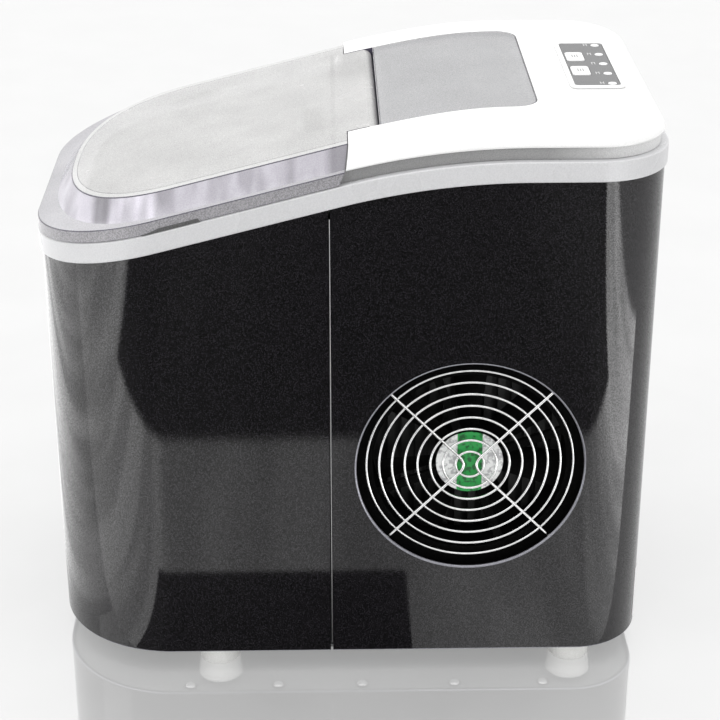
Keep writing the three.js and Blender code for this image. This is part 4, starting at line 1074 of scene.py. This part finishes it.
def buttons():
    for key, x in zip(("power", "select"), BUTTON_X):
        node, body = f"{key}_button", f"{key}_key"
        low, high = span(node)
        at = (x, BUTTON_Y)
        cap_z, stem_z = (PANEL_Z - SKIN, high.z), (low.z, PANEL_Z - SKIN + 0.5)
        cap = rounded_block(BUTTON_SIZE[0] / 2, BUTTON_SIZE[1] / 2, 2.2, cap_z, at, (BUTTON_WHITE,), 0.7)
        stem = rounded_block(3, 3, 0.5, stem_z, at, (BUTTON_WHITE,))
        place(join(cap, stem), f"{node}_cap", [node], "white_gloss", body)
        bars = []
        for step in (-1, 0, 1):
            y = BUTTON_Y + step * KEY_BAR_PITCH
            bars.append(box((x - KEY_BAR_HALF[0], x + KEY_BAR_HALF[0]),
                            (y - KEY_BAR_HALF[1], y + KEY_BAR_HALF[1]),
                            (high.z - 0.05, high.z + 0.06), (KEY_PRINT,)))
        place(gather(*bars), f"{node}_mark", slot="grey_panel", body=body)


# ------------ fan and guard
SPOKE_RADIUS = 1.15 * GUARD_WIRE
BEND_SHARE = 0.11  # how much of a spoke's half takes part in its bend
SPOKE_OFFSET = 1  # keeps the two bends apart at the guard's centre
EYE_RADIUS = 4


def circle(radius, x, steps=120):
    angles = [2 * math.pi * i / steps for i in range(steps)]
    return [(x, VENT_Y + radius * math.cos(a), VENT_Z + radius * math.sin(a)) for a in angles]


def spoke_path(upper, lower, centre):
    """From end to end, bent round the centre of the guard."""
    near_upper, near_lower = centre.lerp(upper, BEND_SHARE), centre.lerp(lower, BEND_SHARE)
    shares = [i / 8 for i in range(9)]
    bend = [near_upper.lerp(centre, t).lerp(centre.lerp(near_lower, t), t) for t in shares]
    return [upper, *bend, lower]


def guard_eye(end, x):
    foot, top = FAN_FACE + GAP, x + GUARD_WIRE
    profile = [(0, foot), (EYE_RADIUS, foot), (EYE_RADIUS, top - 0.4), (EYE_RADIUS - 0.4, top), (0, top)]
    return lathe(profile, (0, end.y, end.z), "x", 32, (CHROME,))


def fan_guard():
    ring_x = GUARD_X - 2.5 * GUARD_WIRE
    spoke_x = ring_x + 1.5 * GUARD_WIRE
    radii = [GUARD_FIRST + i * GUARD_PITCH for i in range(GUARD_RINGS)]
    wires = [sweep(circle(radius, ring_x), GUARD_WIRE, True) for radius in radii]
    for side in (-1, 1):
        y = VENT_Y + side * GUARD_EYE
        upper, lower = Vector((spoke_x, y, VENT_Z + GUARD_EYE)), Vector((spoke_x, y, VENT_Z - GUARD_EYE))
        centre = Vector((spoke_x, VENT_Y + side * SPOKE_OFFSET, VENT_Z))
        wires.append(sweep(spoke_path(upper, lower, centre), SPOKE_RADIUS))
        wires += [guard_eye(end, spoke_x) for end in (upper, lower)]
    place(gather(*wires), "guard_wires", ["fan_guard"], "chrome_wire", sharp=50)


def fan_label():
    low, high = span("fan_label")
    profile = [(0, low.x), (HUB_RADIUS, low.x), (HUB_RADIUS + 0.1, low.x + 0.2),
               (HUB_RADIUS - 0.2, high.x), (0, high.x + 0.1)]
    label = lathe(profile, (0, VENT_Y, VENT_Z), "x", 72, (STICKER,))
    place(label, "fan_hub_label", ["fan_label"], "label_paper")


BLADE_STATIONS, BLADE_ACROSS = 9, 8
BLADE_ROOT = HUB_RADIUS - 2
BLADE_TWIST, BLADE_UNTWIST = 58, 24  # degrees at the root, and how much less at the tip
BLADE_CHORD, BLADE_WIDENING = 20, 4
BLADE_CAMBER = 2.2
BLADE_HALF, BLADE_RIM = 0.75, 0.08  # half the thickness in the middle, and at the edges
BLADE_DEPTH = 0.72


def blade_ring(share, turn, x):
    """One closed cross-section of a blade, back skin first, at a share of the way to the tip."""
    radius = BLADE_ROOT + (ROTOR_REACH - BLADE_ROOT) * share
    twist = math.radians(BLADE_TWIST - BLADE_UNTWIST * share)
    chord = BLADE_CHORD + BLADE_WIDENING * share
    skins = []
    for side in (-1, 1):
        skin = []
        for j in range(BLADE_ACROSS + 1):
            s = j / BLADE_ACROSS - 0.5
            half = BLADE_HALF * (1 - (2 * s) ** 4) + BLADE_RIM
            along, out = s * chord, BLADE_CAMBER * (1 - 4 * s * s) + side * half
            axial = along * math.sin(twist) + out * math.cos(twist)
            swing = (along * math.cos(twist) - out * math.sin(twist)) / radius + math.radians(turn)
            skin.append((x + axial * BLADE_DEPTH,
                         VENT_Y + radius * math.sin(swing), VENT_Z + radius * math.cos(swing)))
        skins.append(skin)
    return skins[0] + skins[1][::-1]


def fan_blade(turn, x):
    shares = [i / (BLADE_STATIONS - 1) for i in range(BLADE_STATIONS)]
    return loft([blade_ring(share, turn, x) for share in shares], (FAN_BLACK,))


def fan_rotor():
    back, front = FAN_FACE - FAN_DEPTH, FAN_FACE - 6
    hub, rim = HUB_RADIUS - 1.5, HUB_RADIUS - 0.5
    profile = [(0, back + 2), (hub, back + 2), (rim, back + 3), (rim, front - 1), (hub, front), (0, front)]
    rotor = lathe(profile, (0, VENT_Y, VENT_Z), "x", 64, (FAN_BLACK,))
    blades = [fan_blade(i * 360 / BLADES, back + 10.5) for i in range(BLADES)]
    place(gather(rotor, *blades), "fan_rotor", ["fan_impeller"], "black_plastic", "fan", 40)


# ------------ base, feet and small pieces
FOOT_PLACES = [(x, y) for y in FOOT_Y for x in (-FOOT_X, FOOT_X)]


def feet():
    top = PLATE_LOW.z - GAP
    screw_top = PLATE_HIGH.z + 4
    foot = [(5.5, 8), (5.5, 0.5), (5.9, 0), (11.5, 0), (12.2, 0.25), (12.4, 0.9), (12.5, 2.5), (13.7, 11.6),
            (13.7, 12.5), (13.2, top - 3), (8.6, top - 3), (8.6, top), (2.3, top), (2.3, 8), (5.5, 8)]
    screw = [(0, 4.7), (2.8, 4.7), (3.6, 5.1), (4, 5.8), (4, 7.7), (2, 7.7), (2, screw_top), (0, screw_top)]
    for number, (x, y) in enumerate(FOOT_PLACES, 1):
        made = lathe(foot, (x, y, 0), "z", 64, (FOOT_RUBBER, PLATE_GREY), [0] * 10 + [1, 1, 0, 0])
        place(made, f"foot_{number}_rubber", [f"foot_{number}"], "rubber_white", sharp=30)
        made = lathe(screw, (x, y, 0), "z", 40, (STEEL,))
        place(made, f"foot_screw_{number}_steel", [f"foot_screw_{number}"], "plain_steel")


def bottom_plate():
    levels = [(0, level(PLATE_LOW.z)), (0, level(PLATE_HIGH.z))]
    plate = stack(inset(CASE, SHELL_WALL + GAP), levels, (PLATE_GREY,), steps=32)
    holes = [lathe(rod(2 + GAP, 10), (x, y, PLATE_LOW.z - 4), "z", 32, (PLATE_GREY,))
             for x, y in FOOT_PLACES]
    place(cut(plate, *holes), "base_plate", ["bottom_plate"], "rubber_white")


def base_screws():
    """Domed screw heads under the base plate, each with a near-black ring round its foot: painted shade
    where the dome meets the plate.
    """
    profile = [(0, -1.9), (1.6, -1.75), (2.8, -1.1), (3.3, -0.3), (4.3, -0.3), (4.3, 0.2), (0, 0.2)]
    places = [(x, y) for x in (-BASE_SCREW_X, BASE_SCREW_X) for y in BASE_SCREW_Y]
    for number, (x, y) in enumerate(places, 1):
        at = (x, y, PLATE_LOW.z - 0.25)
        screw = lathe(profile, at, "z", 32, (CHROME, SCREW_RING_SHADE), [0, 0, 0, 1, 1, 1])
        place(screw, f"base_screw_{number}", slot="plain_steel")


def drain_plug():
    face, end = PLUG_LOW.y, PLUG_HIGH.y
    stem = DRAIN_BORE - RUNNING_GAP
    profile = [(0, face), (KNOB_RADIUS - 0.8, face), (KNOB_RADIUS - 0.2, face + 0.25),
               (KNOB_RADIUS, face + 0.9), (KNOB_RADIUS, face + 5), (stem, face + 5.4), (stem, end - 1),
               (stem - 1, end), (0, end)]
    plug = lathe(profile, (0, 0, DRAIN_Z), "y", 64, (RUBBER,))
    grips = [box(x, (face - 1, face + 2.5), (DRAIN_Z - 7, DRAIN_Z + 7), (RUBBER,))
             for x in ((-12, -1.6), (1.6, 12))]
    place(cut(plug, *grips), "drain_plug_rubber", ["drain_plug"], "rubber_black", "plug")


def cord_gland():
    face, out = REAR, GLAND_END
    profile = [(4, face - 6), (10, face - 6), (10, face - 2.3), (GLAND_RADIUS, face - 2.3),
               (GLAND_RADIUS, face + GAP), (10.2, face + GAP), (10.5, face + 0.6), (9.8, out - 0.1),
               (9.2, out), (4.6, out), (4, out - 0.6), (4, face - 6)]
    gland = lathe(profile, (GLAND.x, 0, GLAND.z), "y", 56, (RUBBER,))
    place(gland, "cord_gland_rubber", ["cord_gland"], "rubber_black")


LABEL_HEIGHTS = (SHELL_FOOT + 4, SHELL_FOOT + 40)
LABEL_SKINS = (0.05, 0.22)  # its back and its face, off the shell
LABEL_FLAT = 28


def rear_label():
    """A blank rating sticker low on the rear face, wrapped a little round the fan side's corner."""
    def path(by):
        x, y = HALF - REAR_RADIUS, REAR - REAR_RADIUS
        angles = [math.radians(70 + 20 * i / 8) for i in range(9)]
        radius = REAR_RADIUS + by
        bend = [(x + radius * math.cos(a), y + radius * math.sin(a)) for a in angles]
        return bend + [(x - LABEL_FLAT, REAR + by)]

    inner, outer = map(path, LABEL_SKINS)
    rings = [[(x, y, z) for x, y in inner + outer[::-1]] for z in LABEL_HEIGHTS]
    place(loft(rings, (PAPER,)), "rating_label_blank", slot="label_paper")


def seam_beads():
    """A fine bright bead down the middle of each seam strip."""
    for side, node in ((-1, "seam_strip_left"), (1, "seam_strip_right")):
        low, high = span(node)
        x, y = side * (HALF - 0.45), SEAM_Y + 0.15
        bead = sweep([(x, y, high.z), (x, y, low.z)], 0.28, sides=10, materials=(STEEL,))
        place(bead, f"{node}_bead", slot="plain_steel")


# ------------ CAD nodes that stay, with their finishes
KEPT = {
    STEEL: ["hinge_pin_left", "hinge_pin_right", "motor_output_shaft", "evaporator_bracket"],
    CHROME: ["evaporator"],
    HUB_BLACK: ["seam_strip_left", "seam_strip_right"],
    LINER_WHITE: ["inner_liner", "ice_basket", "water_tray", "ice_shovel", "drain_spout", "water_hose"],
    FAN_BLACK: ["fan_frame"],
    FIN_BLACK_AND_SHADE: ["condenser"],
    BLACK: ["ice_sensor_left", "ice_sensor_right", "tray_motor", "water_pump",
            "compressor_terminal_cover"],
    FOAM: ["insulation_foam"],
    BOARD: ["control_board"],
    COMPRESSOR: ["compressor"],
    RUBBER: ["compressor_grommet_1", "compressor_grommet_2", "compressor_grommet_3"],
    COPPER: ["filter_dryer", "discharge_pipe", "liquid_pipe", "suction_pipe"],
}


def finish_kept_nodes():
    for material, names in KEPT.items():
        for name in names:
            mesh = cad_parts[name].data
            mesh.materials.clear()
            mesh.materials.append(material)


# ------------ assembly
make_camera()
make_stage()
make_lights()
front_shell()
rear_shell()
top_rim()
rear_cover()
window_pane()
lid()
notch_shadow()
control_panel()
buttons()
fan_guard()
fan_label()
fan_rotor()
feet()
bottom_plate()
base_screws()
drain_plug()
cord_gland()
rear_label()
seam_beads()
finish_kept_nodes()
